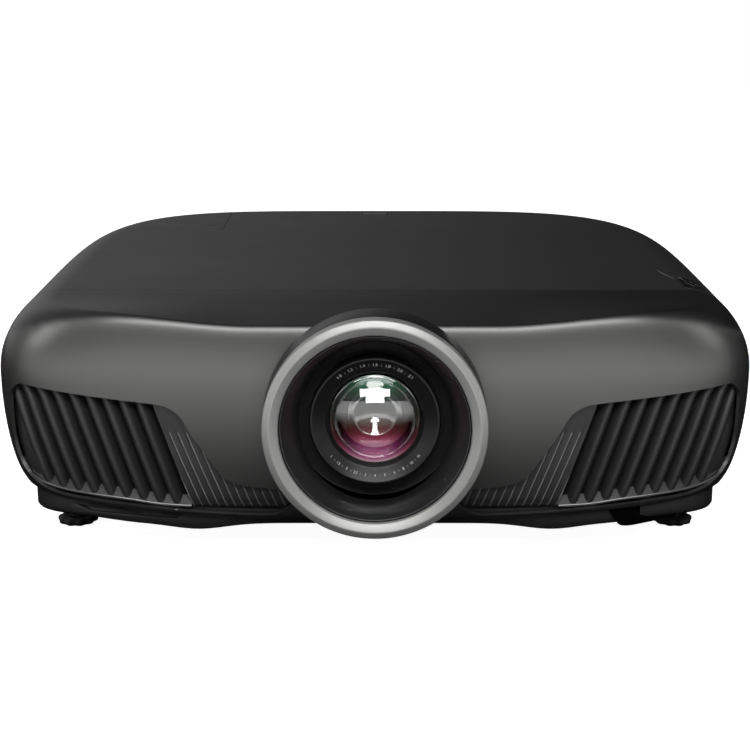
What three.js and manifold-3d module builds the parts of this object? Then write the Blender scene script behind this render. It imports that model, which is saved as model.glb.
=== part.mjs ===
// Home cinema projector, built the way it comes apart on a bench.
// Millimetres, +Z up. Origin: middle of the footprint, on the table. The lens faces -Y.
import * as THREE from 'three';
import { mergeVertices } from 'three/addons/utils/BufferGeometryUtils.js';
import Module from 'manifold-3d';

const wasm = await Module();
wasm.setup();
const group = new THREE.Group();

// ---- driving dimensions ----
const WALL = 2.6;             // moulded shell thickness
const GAP = 0.3;              // parting gap between neighbouring mouldings
const BODY_CENTRE_Y = -86;    // widest station of the body plan
const WAIST_HEIGHT = 119.3;   // height at which the body is widest
const LIP_HEIGHT = 35;        // lower edge of the upper body form
const HALF_WIDTH = 260;
const FRONT_REACH = 100.2;    // from the widest station to the front face
const REAR_REACH = 311;       // from the widest station to the rear face
const PAN_BOTTOM = 23;        // underside of the base
const AXIS_HEIGHT = 102;      // lens axis above the table
const PARTING_Y = -110;       // front fascia / top cover joint
const PARTING_Z = 100;        // top cover / base case joint
const FAR = 400;              // beyond the object, for cutting blocks

// ---- solids ----
function toSolid(geometry) {
  const bare = geometry.clone();
  bare.deleteAttribute('normal');
  bare.deleteAttribute('uv');
  const merged = mergeVertices(bare, 1e-3);
  const corners = merged.index.array;
  const triangles = [];
  for (let t = 0; t < corners.length; t += 3) {
    const [a, b, c] = [corners[t], corners[t + 1], corners[t + 2]];
    if (a !== b && b !== c && c !== a) triangles.push(a, b, c);
  }
  const build = (list) => new wasm.Manifold(new wasm.Mesh({
    numProp: 3,
    vertProperties: new Float32Array(merged.attributes.position.array),
    triVerts: new Uint32Array(list),
  }));
  const solid = build(triangles);
  if (solid.volume() > 0) return solid;
  const turned = [];
  for (let t = 0; t < triangles.length; t += 3) {
    turned.push(triangles[t], triangles[t + 2], triangles[t + 1]);
  }
  return build(turned);
}

function toGeometry(solid) {
  const mesh = solid.getMesh();
  const geometry = new THREE.BufferGeometry();
  geometry.setAttribute('position', new THREE.BufferAttribute(new Float32Array(mesh.vertProperties), 3));
  geometry.setIndex(new THREE.BufferAttribute(new Uint32Array(mesh.triVerts), 1));
  geometry.computeVertexNormals();
  return geometry;
}

function join(...solids) {
  return solids.reduce((whole, next) => whole.add(next));
}

function block(x0, x1, y0, y1, z0, z1) {
  const geometry = new THREE.BoxGeometry(x1 - x0, y1 - y0, z1 - z0);
  geometry.translate((x0 + x1) / 2, (y0 + y1) / 2, (z0 + z1) / 2);
  return toSolid(geometry);
}

// A round bar along 'x', 'y' or 'z', from one end to the other.
function bar(axis, radius, from, to, centre, sides = 24) {
  const geometry = new THREE.CylinderGeometry(radius, radius, to - from, sides);
  const middle = (from + to) / 2;
  if (axis === 'x') geometry.rotateZ(Math.PI / 2).translate(middle, centre[0], centre[1]);
  if (axis === 'y') geometry.translate(centre[0], middle, centre[1]);
  if (axis === 'z') geometry.rotateX(Math.PI / 2).translate(centre[0], centre[1], middle);
  return toSolid(geometry);
}

// A turned piece about the lens axis: profile points are [radius, y].
function turned(profile, sides = 48, reshape = null) {
  const closed = [...profile, profile[0]].map(([radius, y]) => new THREE.Vector2(radius, y));
  const geometry = new THREE.LatheGeometry(closed, sides);
  if (reshape) reshape(geometry.attributes.position);
  geometry.translate(0, 0, AXIS_HEIGHT);
  return toSolid(geometry);
}

// An outline in [x, z], as a plate from y0 to y1.
function frontPlate(points, y0, y1) {
  const shape = new THREE.Shape(points.map(([x, z]) => new THREE.Vector2(x, z)));
  const geometry = new THREE.ExtrudeGeometry(shape, { depth: y1 - y0, bevelEnabled: false });
  geometry.rotateX(Math.PI / 2).translate(0, y1, 0);
  return toSolid(geometry);
}

const mirrored = (points) => points.map(([x, z]) => [-x, z]).reverse();

function finish(color, roughness, metalness = 0) {
  return () => new THREE.MeshStandardMaterial({ color, roughness, metalness });
}
const blackPlastic = finish(0x1c1c1d, 0.5);
const gunmetalPaint = finish(0x4a4a4b, 0.4, 0.3);
const satinMetal = finish(0xb4b4b6, 0.3, 0.9);
const softBlack = finish(0x0d0d0e, 0.7);
const smokedWindow = finish(0x0a0a0b, 0.1);
const plainSteel = finish(0x8f9295, 0.4, 0.9);
const castAlloy = finish(0x6c6e70, 0.5, 0.8);
const rubber = finish(0x151515, 0.9);
const coatedGlass = finish(0x35504c, 0.05);
const circuitGreen = finish(0x1e4a33, 0.6);

function addPart(name, solid, material) {
  const mesh = new THREE.Mesh(toGeometry(solid), material());
  mesh.name = name;
  group.add(mesh);
}

// ---- body form ----
// Height of the top crest: rises to the rear, with raised front shoulders.
const CREST = [[-186, 160.5], [-150, 166.8], [-110, 172.2], [0, 178.6], [100, 184.8], [212, 189.6]];
function crestHeight(x, y) {
  let height = y < CREST[0][0] ? CREST[0][1] : CREST[CREST.length - 1][1];
  for (let i = 1; i < CREST.length; i++) {
    const [y0, z0] = CREST[i - 1];
    const [y1, z1] = CREST[i];
    if (y >= y0 && y <= y1) height = z0 + (z1 - z0) * (y - y0) / (y1 - y0);
  }
  const outward = THREE.MathUtils.smoothstep(Math.abs(x), 80, 185);
  const forward = 1 - THREE.MathUtils.smoothstep(y, -195, -120);
  return height + 8 * outward * forward;
}

// A stack of superellipse sections, as a lathe whose rings are pushed out to their sections.
// Each ring is { scale, width, front, rear, height(x, y) }.
function sectionStack(rings, frontPower, rearPower, sides = 44) {
  const profile = rings.map((ring, i) => new THREE.Vector2(ring.scale, i));
  const geometry = new THREE.LatheGeometry(profile, sides);
  const position = geometry.attributes.position;
  for (let v = 0; v < position.count; v++) {
    const ring = rings[Math.round(position.getY(v))];
    const turn = Math.atan2(-position.getZ(v), position.getX(v));
    const [side, ahead] = [Math.cos(turn), Math.sin(turn)];
    const power = 2 / (ahead < 0 ? frontPower : rearPower);
    const reach = ahead < 0 ? ring.front : ring.rear;
    const width = ring.width(ahead);
    const x = ring.scale * width * Math.sign(side) * Math.abs(side) ** power;
    const y = BODY_CENTRE_Y + ring.scale * reach * Math.sign(ahead) * Math.abs(ahead) ** power;
    position.setXYZ(v, x, y, ring.height(x, y));
  }
  return toSolid(geometry);
}

// The whole body, inset by a distance, and carried straight down below its lip where asked.
function bodyForm(inset, below = 0) {
  const rings = [];
  const addRing = (scale, degrees) => {
    const tilt = THREE.MathUtils.degToRad(degrees);
    const tuck = 1 - Math.cos(tilt);
    const upper = degrees >= 0;
    const [frontTuck, rearTuck] = upper ? [6.6, 39.4] : [3, 30];
    rings.push({
      scale,
      width: (ahead) => {
        const sideTuck = upper ? 43.7 - 17 * Math.max(0, -ahead) : 28.8;
        return HALF_WIDTH - inset - sideTuck * tuck;
      },
      front: FRONT_REACH - inset - frontTuck * tuck,
      rear: REAR_REACH - inset - rearTuck * tuck,
      height: (x, y) => {
        if (!upper) return WAIST_HEIGHT + Math.sin(tilt) * (WAIST_HEIGHT - LIP_HEIGHT);
        return WAIST_HEIGHT + Math.sin(tilt) * (crestHeight(x, y) - inset - WAIST_HEIGHT);
      },
    });
  };
  addRing(0, -90);
  addRing(1, -90);
  if (below > 0) {
    rings.forEach((ring) => {
      ring.height = () => LIP_HEIGHT - below;
    });
    addRing(1, -90);
  }
  [-64, -36, 0, 20, 40, 58, 75, 90].forEach((degrees) => addRing(1, degrees));
  [0.8, 0.45, 0].forEach((scale) => addRing(scale, 90));
  return sectionStack(rings, 4.47, 4.3);
}

function panForm(inset, top) {
  const ring = (scale, tuck, z) => ({
    scale,
    width: () => 233 - inset - tuck,
    front: 88 - inset - tuck,
    rear: 292 - inset - tuck,
    height: () => z,
  });
  const bottom = PAN_BOTTOM + inset;
  return sectionStack([ring(0, 3, bottom), ring(1, 3, bottom), ring(1, 0, bottom + 4),
    ring(1, 0, top), ring(0, 0, top)], 4.2, 4.3);
}

const bodyOuter = bodyForm(0);
const shell = bodyOuter.subtract(bodyForm(WALL, 12));

// ---- grille openings, drawn on the left side in [x, z] ----
const OPENING = [[-247, 104], [-245, 111], [-238, 117], [-147.6, 109.8], [-137.7, 108.3],
  [-129.2, 102.6], [-120.7, 87.1], [-111, 73.5], [-103, 60.4], [-95.2, 54.9], [-85.7, 52.6],
  [-57, 50.5], [-52, 46], [-62, 41], [-120, 40.5], [-150, 41.5], [-185, 43.5], [-214, 46],
  [-228, 50], [-236, 56], [-243, 66], [-246.5, 80]];
const LOUVRES = [[-245.8, 104], [-243.8, 110.5], [-237.5, 115.8], [-149, 108.2], [-122.5, 42],
  [-150, 43], [-185, 45], [-213, 47.5], [-227, 51.5], [-235, 57.5], [-241.5, 67], [-245, 81]];
const FINS = [[-147, 113], [-136, 112], [-127, 105], [-118.5, 90], [-109, 75.5], [-101, 63],
  [-93.5, 57.5], [-84, 55], [-56, 52.5], [-50, 46], [-61, 40], [-120.5, 39.5]];
const FASCIA_INSET = 4;       // the panels sit this far behind the outer surface
const LOUVRE_DEPTH = 9;
const FIN_DEPTH = 3;
const BLADE_COUNT = 9;
const BLADE_PITCH = 10.9;
const BLADE_LEAN = 26;         // how far each blade's foot stands inwards of its top
const BLADE_WIDTH = 5.4;

function shrunk(points, factor) {
  const cx = points.reduce((sum, p) => sum + p[0], 0) / points.length;
  const cz = points.reduce((sum, p) => sum + p[1], 0) / points.length;
  return points.map(([x, z]) => [cx + (x - cx) * factor, cz + (z - cz) * factor]);
}

function louvreGrille(side) {
  const outline = (points) => (side < 0 ? points : mirrored(points));
  const whole = frontPlate(outline(LOUVRES), -230, PARTING_Y - 1);
  const hollow = frontPlate(outline(shrunk(LOUVRES, 0.93)), -230, PARTING_Y - 1);
  let bones = whole.subtract(hollow);
  for (let i = 0; i < BLADE_COUNT; i++) {
    const top = -247 + i * BLADE_PITCH;
    const bottom = top + BLADE_LEAN;
    const blade = [[bottom, 36], [bottom + BLADE_WIDTH, 36], [top + BLADE_WIDTH, 117], [top, 117]];
    bones = bones.add(frontPlate(outline(blade), -229, PARTING_Y - 2).intersect(whole));
  }
  const band = bodyForm(FASCIA_INSET).subtract(bodyForm(FASCIA_INSET + LOUVRE_DEPTH, 12));
  return band.intersect(bones);
}

function finPanel(side) {
  const plate = frontPlate(side < 0 ? FINS : mirrored(FINS), -230, PARTING_Y - 1);
  const band = bodyForm(FASCIA_INSET).subtract(bodyForm(FASCIA_INSET + FIN_DEPTH, 12));
  return band.intersect(plate);
}

// ---- lens surround ----
const collarOutline = [[70.6, -212.7], [72.3, -212.7], [73, -190], [62, -150], [59.6, -150], [70.6, -188]];
const collarHole = turned([[0, -230], [74.6, -230], [74.6, -190], [62.6, -149], [0, -149]]);
addPart('lens_collar', turned(collarOutline), blackPlastic);
addPart('lens_trim_ring', turned([[61.5, -221.4], [64, -223.6], [67.3, -225], [70.5, -224.6], [72, -223],
  [72, -213], [68, -213], [61.5, -219.6]], 56), satinMetal);
const OVAL = 53.3 / 49.7;
const stretchUpright = (position) => {
  for (let v = 0; v < position.count; v++) {
    const radius = Math.hypot(position.getX(v), position.getZ(v));
    if (radius < 56) position.setZ(v, position.getZ(v) * OVAL);
  }
};
addPart('lens_bowl', turned([[61, -220.4], [55, -211.5], [49.7, -201], [49.7, -199.4], [70.2, -199.4],
  [70.2, -212.4], [67.6, -212.4], [61, -218.9]], 48, stretchUpright), softBlack);

// ---- shells ----
const frontHalf = block(-FAR, FAR, -FAR, PARTING_Y - GAP / 2, LIP_HEIGHT + 1, FAR);
let fascia = shell.intersect(frontHalf).subtract(collarHole);
fascia = fascia.subtract(frontPlate(OPENING, -230, PARTING_Y - 1));
fascia = fascia.subtract(frontPlate(mirrored(OPENING), -230, PARTING_Y - 1));
addPart('front_fascia', fascia, gunmetalPaint);

addPart('louvre_grille_left', louvreGrille(-1), gunmetalPaint);
addPart('louvre_grille_right', louvreGrille(1), gunmetalPaint);
addPart('fin_panel_left', finPanel(-1), blackPlastic);
addPart('fin_panel_right', finPanel(1), blackPlastic);

const grown = (box, by) => block(box[0] - by, box[1] + by, box[2] - by, box[3] + by, box[4] - by, box[5] + by);
const LAMP_BAY = [-FAR, -126, 100, FAR, 70, FAR];
const STATUS_STRIP = [216, 232, -104, -74, 140, FAR];
const TOP_WINDOW = [-11, 11, 167.5, 178.5, 170, FAR];
const CONTROL_DOOR = [240, FAR, -20, 70, 108, 149];
const REAR_OPENING = [-112, 112, 180, FAR, 42, 93];
const upperHalf = block(-FAR, FAR, PARTING_Y + GAP / 2, FAR, PARTING_Z + GAP / 2, FAR);
const lowerHalf = block(-FAR, FAR, PARTING_Y + GAP / 2, FAR, 0, PARTING_Z - GAP / 2);

let cover = shell.intersect(upperHalf);
[LAMP_BAY, STATUS_STRIP, TOP_WINDOW, CONTROL_DOOR].forEach((box) => {
  cover = cover.subtract(grown(box, GAP / 2));
});
addPart('top_cover', cover, blackPlastic);
addPart('status_indicator_strip', shell.intersect(grown(STATUS_STRIP, -GAP / 2)), smokedWindow);
addPart('receiver_window_top', shell.intersect(grown(TOP_WINDOW, -GAP / 2)), smokedWindow);
addPart('control_door', shell.intersect(grown(CONTROL_DOOR, -GAP / 2)), blackPlastic);

const SCREW_AT = [-137, 118];
const SCREW_RADIUS = 3.6;
const screwTop = crestHeight(...SCREW_AT) + 0.3;
const lampCover = shell.intersect(grown(LAMP_BAY, -GAP / 2));
addPart('lamp_cover', lampCover.subtract(bar('z', SCREW_RADIUS + GAP, 150, 250, SCREW_AT, 12)), blackPlastic);
addPart('lamp_cover_screw', bar('z', SCREW_RADIUS, screwTop - 9, screwTop, SCREW_AT, 12), plainSteel);

// ---- base: tray, side and rear walls, foot bosses ----
const FOOT_X = 216;
const FOOT_Y = -102;
const STEM_RADIUS = 6.5;
const BOSS_RADIUS = 10;
const PAN_TOP = LIP_HEIGHT + 0.6;
let base = panForm(0, PAN_TOP).subtract(panForm(WALL, PAN_TOP + 9));
base = base.add(shell.intersect(lowerHalf));
const RECEIVER = [157, 211, -FAR, -130, 24, PAN_TOP + 1];
const receiver = panForm(0, PAN_TOP).subtract(panForm(WALL, PAN_TOP + 9)).intersect(grown(RECEIVER, -GAP / 2));
base = base.subtract(grown(RECEIVER, GAP / 2)).subtract(grown(REAR_OPENING, GAP / 2));
base = base.subtract(grown(LAMP_BAY, GAP / 2)).subtract(collarHole);
[-1, 1].forEach((side) => {
  const at = [side * FOOT_X, FOOT_Y];
  base = base.add(bar('z', BOSS_RADIUS, PAN_BOTTOM + 1, PAN_BOTTOM + 12, at, 20));
  base = base.subtract(bar('z', STEM_RADIUS + GAP, 0, 60, at, 20));
});
addPart('base_case', base, blackPlastic);
addPart('receiver_window_front', receiver, smokedWindow);

// ---- feet ----
const DISC_RADIUS = 14.5;
const DISC_HEIGHT = 4.6;
const SCALLOPS = 10;
function scallopedDisc(x, y) {
  const shape = new THREE.Shape();
  const steps = SCALLOPS * 4;
  for (let i = 0; i < steps; i++) {
    const turn = 2 * Math.PI * i / steps;
    const radius = DISC_RADIUS - 0.9 * (1 - Math.cos(SCALLOPS * turn)) / 2;
    if (i === 0) shape.moveTo(x + radius, y);
    else shape.lineTo(x + radius * Math.cos(turn), y + radius * Math.sin(turn));
  }
  return toSolid(new THREE.ExtrudeGeometry(shape, { depth: DISC_HEIGHT, bevelEnabled: false }));
}
[['left', -1], ['right', 1]].forEach(([name, side]) => {
  const at = [side * FOOT_X, FOOT_Y];
  addPart(`foot_disc_${name}`, scallopedDisc(...at), rubber);
  addPart(`foot_stem_${name}`, bar('z', STEM_RADIUS, DISC_HEIGHT + GAP, 48, at, 16), plainSteel);
  addPart(`foot_rear_${name}`, bar('z', 13, 0, PAN_BOTTOM - GAP, [side * 185, 150], 24), rubber);
});

// ---- rear panel and mains inlet ----
const PANEL_Y = 200;
const INLET = [-104, -74, 55, 79];
let panel = grown([-112, 112, PANEL_Y, PANEL_Y + 11, 42, 93], -GAP);
panel = panel.subtract(block(-109, 109, PANEL_Y + WALL, 230, 45, 90));
panel = panel.subtract(block(INLET[0] - GAP, INLET[1] + GAP, 150, 250, INLET[2] - GAP, INLET[3] + GAP));
addPart('rear_panel', panel, blackPlastic);
const inlet = block(INLET[0], INLET[1], PANEL_Y - 10, PANEL_Y + 8, INLET[2], INLET[3]);
addPart('ac_inlet', inlet.subtract(block(INLET[0] + 2.8, INLET[1] - 2.8, PANEL_Y - 5, 230, INLET[2] + 3.7,
  INLET[3] - 3.7)), softBlack);

// ---- control keys behind the side door ----
const KEYPAD_X = 243;
const KEY_RADIUS = 3.6;
const KEYS = { power: [-8, 129], source: [8, 138], menu: [8, 120], esc: [22, 129], enter: [46, 129],
  up: [46, 140], down: [46, 118], left: [35, 129], right: [57, 129] };
let keypad = block(KEYPAD_X, KEYPAD_X + 2, -24, 74, 106, 151);
Object.values(KEYS).forEach((at) => {
  keypad = keypad.subtract(bar('x', KEY_RADIUS + GAP, 230, 260, at, 12));
});
addPart('keypad_plate', keypad, blackPlastic);
Object.entries(KEYS).forEach(([name, at]) => {
  addPart(`button_${name}`, bar('x', KEY_RADIUS, KEYPAD_X - 3, KEYPAD_X + 5, at, 12), softBlack);
});

// ---- lens shift frames and lens ----
addPart('lens_mount_frame', block(-105, 105, -96, -92, 27, 158)
  .subtract(bar('y', 56, -120, -80, [0, AXIS_HEIGHT], 36)), castAlloy);
addPart('shift_frame_vertical', block(-86, 86, -91.6, -87, 38, 157)
  .subtract(bar('y', 53, -120, -80, [0, AXIS_HEIGHT], 36)), castAlloy);
addPart('shift_frame_horizontal', block(-74, 74, -86.6, -81, 47, 155)
  .subtract(bar('y', 43, -120, -70, [0, AXIS_HEIGHT], 36)), castAlloy);

const BARREL_RADIUS = 42.3;
const RING_RADIUS = 50;
const PINION_RADIUS = 9.5;
const PINION_REACH = (RING_RADIUS + GAP + PINION_RADIUS) * Math.SQRT1_2;
const focusMotorAt = [PINION_REACH, AXIS_HEIGHT + PINION_REACH];
const zoomMotorAt = [-PINION_REACH, AXIS_HEIGHT + PINION_REACH];
function motorArm(side) {
  const arm = new THREE.BoxGeometry(20, 4, 12);
  arm.translate(51, 0, 0).rotateY(side > 0 ? -Math.PI / 4 : -3 * Math.PI / 4);
  arm.translate(0, -124, AXIS_HEIGHT);
  return toSolid(arm);
}
const tube = turned([[42.3, -198.6], [41.5, -199.5], [40.3, -199.5], [32, -194.5], [32, -190.5],
  [39, -189], [39, -75.5], [52, -75.5], [52, -79.4], [42.3, -79.4]], 40);
addPart('lens_barrel', join(tube, motorArm(1), motorArm(-1),
  bar('y', 8, -126.5, -101, focusMotorAt, 16), bar('y', 8, -147, -121.5, zoomMotorAt, 16)), softBlack);
addPart('front_glass', turned([[0, -195], [12, -194.3], [22, -192.6], [31.4, -190], [31.4, -188.4],
  [38.6, -188.4], [38.6, -182], [0, -182]], 36), coatedGlass);
const ringBore = BARREL_RADIUS + 0.4;
const adjustRing = (y0, y1) => turned([[RING_RADIUS, y0], [RING_RADIUS, y1], [ringBore, y1], [ringBore, y0]], 36);
addPart('focus_ring', adjustRing(-146, -128.5), softBlack);
addPart('zoom_ring', adjustRing(-119.5, -102), softBlack);
addPart('focus_pinion', bar('y', PINION_RADIUS, -146, -128.5, focusMotorAt, 18), plainSteel);
addPart('zoom_pinion', bar('y', PINION_RADIUS, -119.5, -102, zoomMotorAt, 18), plainSteel);
const lensCell = (y0, y1, bulge) => turned([[0, y0 - bulge], [20, y0 - bulge * 0.7], [34, y0], [38.4, y0],
  [38.4, y1], [20, y1 + bulge * 0.7], [0, y1 + bulge]], 28);
addPart('zoom_lens_cell', lensCell(-160, -150, 3), coatedGlass);
addPart('focus_lens_cell', lensCell(-112, -102, 2), coatedGlass);

// ---- optical engine, iris and lamp ----
const PRISM = 20;
const ENGINE = [-104, 72, -34, 152, 62, 142];
let engine = grown(ENGINE, 0).subtract(block(ENGINE[0] + 3, ENGINE[1] - 3, ENGINE[2] + 3, ENGINE[3] - 3, 65, 200));
engine = engine.subtract(bar('y', 26, -60, -20, [0, AXIS_HEIGHT], 40));
engine = engine.subtract(block(-110, -95, 117, 147, 88, 120));
addPart('optical_engine_case', engine, castAlloy);
addPart('prism_block', block(-PRISM, PRISM, -PRISM, PRISM, AXIS_HEIGHT - PRISM, AXIS_HEIGHT + PRISM), coatedGlass);
const panelSpan = [AXIS_HEIGHT - 16, AXIS_HEIGHT + 16];
addPart('lcd_panel_green', block(-16, 16, PRISM + 3, PRISM + 6, ...panelSpan), coatedGlass);
addPart('lcd_panel_red', block(PRISM + 3, PRISM + 6, -16, 16, ...panelSpan), coatedGlass);
addPart('lcd_panel_blue', block(-PRISM - 6, -PRISM - 3, -16, 16, ...panelSpan), coatedGlass);
addPart('iris_blade_upper', block(-96, -94.6, 113, 148, AXIS_HEIGHT + 14, AXIS_HEIGHT + 34), plainSteel);
addPart('iris_blade_lower', block(-93.4, -92, 113, 148, AXIS_HEIGHT - 34, AXIS_HEIGHT - 14), plainSteel);
const lampCase = block(-190, -112, 104, 170, 74, 134);
const LAMP_AXIS = [137, AXIS_HEIGHT];
const reflectorMouth = toSolid(new THREE.CylinderGeometry(25, 12, 46, 32).rotateZ(-Math.PI / 2)
  .translate(-111 - 23, LAMP_AXIS[0], LAMP_AXIS[1]));
addPart('lamp_module', lampCase.subtract(reflectorMouth), blackPlastic);

// ---- boards and power ----
addPart('main_board', block(-150, 150, -50, 170, 40, 41.6), circuitGreen);
addPart('power_supply', block(95, 205, -20, 140, 50, 120), plainSteel);

// ---- cooling: filter and two fans ----
const filter = new THREE.BoxGeometry(74, 14, 52).rotateZ(THREE.MathUtils.degToRad(14));
addPart('air_filter', toSolid(filter.translate(186, -136, 79)), rubber);

const FAN_RADIUS = 38;
const FAN_Y = [-90, -66];
function fanFrame(x, z) {
  let frame = block(x - 42, x + 42, FAN_Y[0], FAN_Y[1], z - 42, z + 42);
  frame = frame.subtract(bar('y', FAN_RADIUS + 1.5, FAN_Y[0] - 5, FAN_Y[1] + 5, [x, z], 32));
  const spokes = [0, 1, 2].map((i) => {
    const spoke = new THREE.BoxGeometry(2 * FAN_RADIUS + 6, 3, 5).rotateY(i * Math.PI / 3);
    return toSolid(spoke.translate(x, FAN_Y[1] - 1.5, z));
  });
  return join(frame, bar('y', 14, FAN_Y[1] - 3, FAN_Y[1], [x, z], 18), ...spokes);
}
function fanRotor(x, z) {
  let rotor = bar('y', 14, FAN_Y[0] + 1, FAN_Y[1] - 4, [x, z], 18);
  for (let i = 0; i < 7; i++) {
    const blade = new THREE.BoxGeometry(26, 2, 20);
    blade.rotateX(THREE.MathUtils.degToRad(52)).translate(24, 0, 0);
    blade.rotateY(2 * Math.PI * i / 7).translate(x, (FAN_Y[0] + FAN_Y[1]) / 2 - 1.5, z);
    rotor = rotor.add(toSolid(blade));
  }
  return rotor;
}
[['exhaust', -180], ['intake', 180]].forEach(([name, x]) => {
  addPart(`${name}_fan_frame`, fanFrame(x, 84), blackPlastic);
  addPart(`${name}_fan_rotor`, fanRotor(x, 84), softBlack);
});

export default group;
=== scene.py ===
import math

import bmesh
import bpy
from mathutils import Matrix, Vector


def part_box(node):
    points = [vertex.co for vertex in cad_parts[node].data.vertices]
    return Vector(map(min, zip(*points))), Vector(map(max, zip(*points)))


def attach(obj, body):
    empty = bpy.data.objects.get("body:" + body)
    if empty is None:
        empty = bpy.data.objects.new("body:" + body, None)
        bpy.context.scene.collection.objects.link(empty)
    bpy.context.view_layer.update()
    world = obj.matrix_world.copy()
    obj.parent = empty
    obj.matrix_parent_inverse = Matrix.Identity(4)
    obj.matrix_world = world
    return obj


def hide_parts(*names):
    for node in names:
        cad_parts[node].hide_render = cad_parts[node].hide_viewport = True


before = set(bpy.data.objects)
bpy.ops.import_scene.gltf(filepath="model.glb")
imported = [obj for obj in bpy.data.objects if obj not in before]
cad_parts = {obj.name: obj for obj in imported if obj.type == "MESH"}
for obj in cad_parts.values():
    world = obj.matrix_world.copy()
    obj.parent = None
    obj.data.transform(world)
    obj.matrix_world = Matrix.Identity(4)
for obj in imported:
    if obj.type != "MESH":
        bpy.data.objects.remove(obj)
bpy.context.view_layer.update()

MM = 0.001

# Camera: a 70.9 mm lens 1.12 m in front of the middle of the projector, a little above it and
# tilted 13.8 degrees down.
camera_data = bpy.data.cameras.new("camera")
camera_data.lens = 70.9
camera_data.sensor_width = 36
camera_data.clip_end = 20
camera = bpy.data.objects.new("camera", camera_data)
camera.location = (0, -1.1219, 0.3597)
camera.rotation_euler = (math.radians(90 - 13.8), 0, 0)
bpy.context.scene.collection.objects.link(camera)
bpy.context.scene.camera = camera
bpy.context.scene.view_settings.view_transform = "Standard"


# Studio: a pale floor that runs far back and throws light up at the fascia, a large soft light in
# front and above, one at each side, three for the glass alone, and a dim world, so the top stays dark.
def linear(hex_colour, alpha=1.0):
    """An sRGB hex colour as the linear numbers that a shader takes."""
    channels = [int(hex_colour[i:i + 2], 16) / 255 for i in (1, 3, 5)]
    curve = [c / 12.92 if c <= 0.04045 else ((c + 0.055) / 1.055) ** 2.4 for c in channels]
    return (*curve, alpha)


def add_node(material, kind, settings=None, **links):
    """Adds a node with its settings; each link names an input and the output that feeds it."""
    node = material.node_tree.nodes.new(kind)
    for name, value in (settings or {}).items():
        if name.startswith("in_"):
            key = name[3:].replace("_", " ")
            node.inputs[int(key) if key.isdigit() else key].default_value = value
        else:
            setattr(node, name, value)
    for name, output in links.items():
        key = name.replace("_", " ").strip()
        socket = node.inputs[int(key[1:]) if key[0] == "n" and key[1:].isdigit() else key]
        material.node_tree.links.new(output, socket)
    return node


def new_material(name, colour, roughness, **shader_values):
    """A Principled material with constant values; the section that asks for it adds its patterns."""
    material = bpy.data.materials.new(name)
    material.use_nodes = True
    shader = material.node_tree.nodes["Principled BSDF"]
    shader.inputs["Base Color"].default_value = linear(colour)
    shader.inputs["Roughness"].default_value = roughness
    for key, value in shader_values.items():
        shader.inputs[key.replace("_", " ")].default_value = value
    return material


def connect(material, output, socket):
    """Feeds a socket of the material's Principled shader from a node's output."""
    shader = material.node_tree.nodes["Principled BSDF"]
    material.node_tree.links.new(output, shader.inputs[socket])


def noise_in(material, scale, detail=2.0):
    """Noise that stays fixed to the piece, at so many waves to the metre."""
    position = add_node(material, "ShaderNodeTexCoord")
    return add_node(material, "ShaderNodeTexNoise", {"in_Scale": scale, "in_Detail": detail},
                    Vector=position.outputs["Object"])


def add_grain(material, scale, detail, strength, depth):
    """A moulded, ground or woven grain, as a fine bump of the given depth in metres."""
    noise = noise_in(material, scale, detail)
    bump = add_node(material, "ShaderNodeBump", {"in_Strength": strength, "in_Distance": depth},
                    Height=noise.outputs["Fac"])
    connect(material, bump.outputs["Normal"], "Normal")
    return noise


def vary_roughness(material, scale, detail, smooth, rough):
    """Handling and finish marks: the roughness wanders slowly between two values."""
    noise = noise_in(material, scale, detail)
    span = add_node(material, "ShaderNodeMapRange", {"in_To_Min": smooth, "in_To_Max": rough},
                    Value=noise.outputs["Fac"])
    connect(material, span.outputs["Result"], "Roughness")


def vary_colour(material, noise, dark, light):
    """The base colour wanders between two shades with the given noise."""
    shade = add_node(material, "ShaderNodeMix", {"data_type": "RGBA", "in_6": linear(dark),
                     "in_7": linear(light)}, Factor=noise.outputs["Fac"])
    connect(material, shade.outputs[2], "Base Color")


floor_mesh = bpy.data.meshes.new("floor")
floor_shape = bmesh.new()
bmesh.ops.create_grid(floor_shape, x_segments=1, y_segments=1, size=6)
floor_shape.to_mesh(floor_mesh)
floor_shape.free()
floor = bpy.data.objects.new("floor", floor_mesh)
bpy.context.scene.collection.objects.link(floor)
floor_paper = new_material("pale_studio_paper", "#f4f4f4", 0.9)
floor_shader = floor_paper.node_tree.nodes["Principled BSDF"]
floor_shader.inputs["Emission Color"].default_value = linear("#ffffff")
floor_shader.inputs["Emission Strength"].default_value = 0.95
floor_view = add_node(floor_paper, "ShaderNodeLightPath")
floor_place = add_node(floor_paper, "ShaderNodeTexCoord")
floor_axes = add_node(floor_paper, "ShaderNodeSeparateXYZ", Vector=floor_place.outputs["Object"])
floor_fade = add_node(floor_paper, "ShaderNodeMapRange", {"in_From_Min": -0.72, "in_From_Max": -0.44,
                      "in_To_Min": 2.6, "in_To_Max": 0.0}, Value=floor_axes.outputs["Y"])
floor_glow = add_node(floor_paper, "ShaderNodeEmission", Strength=floor_fade.outputs["Result"])
floor_mix = add_node(floor_paper, "ShaderNodeMixShader", Fac=floor_view.outputs["Is Camera Ray"],
                     n1=floor_glow.outputs["Emission"], n2=floor_shader.outputs["BSDF"])
floor_paper.node_tree.links.new(floor_mix.outputs["Shader"],
                                floor_paper.node_tree.nodes["Material Output"].inputs["Surface"])
floor_mesh.materials.append(floor_paper)

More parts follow.
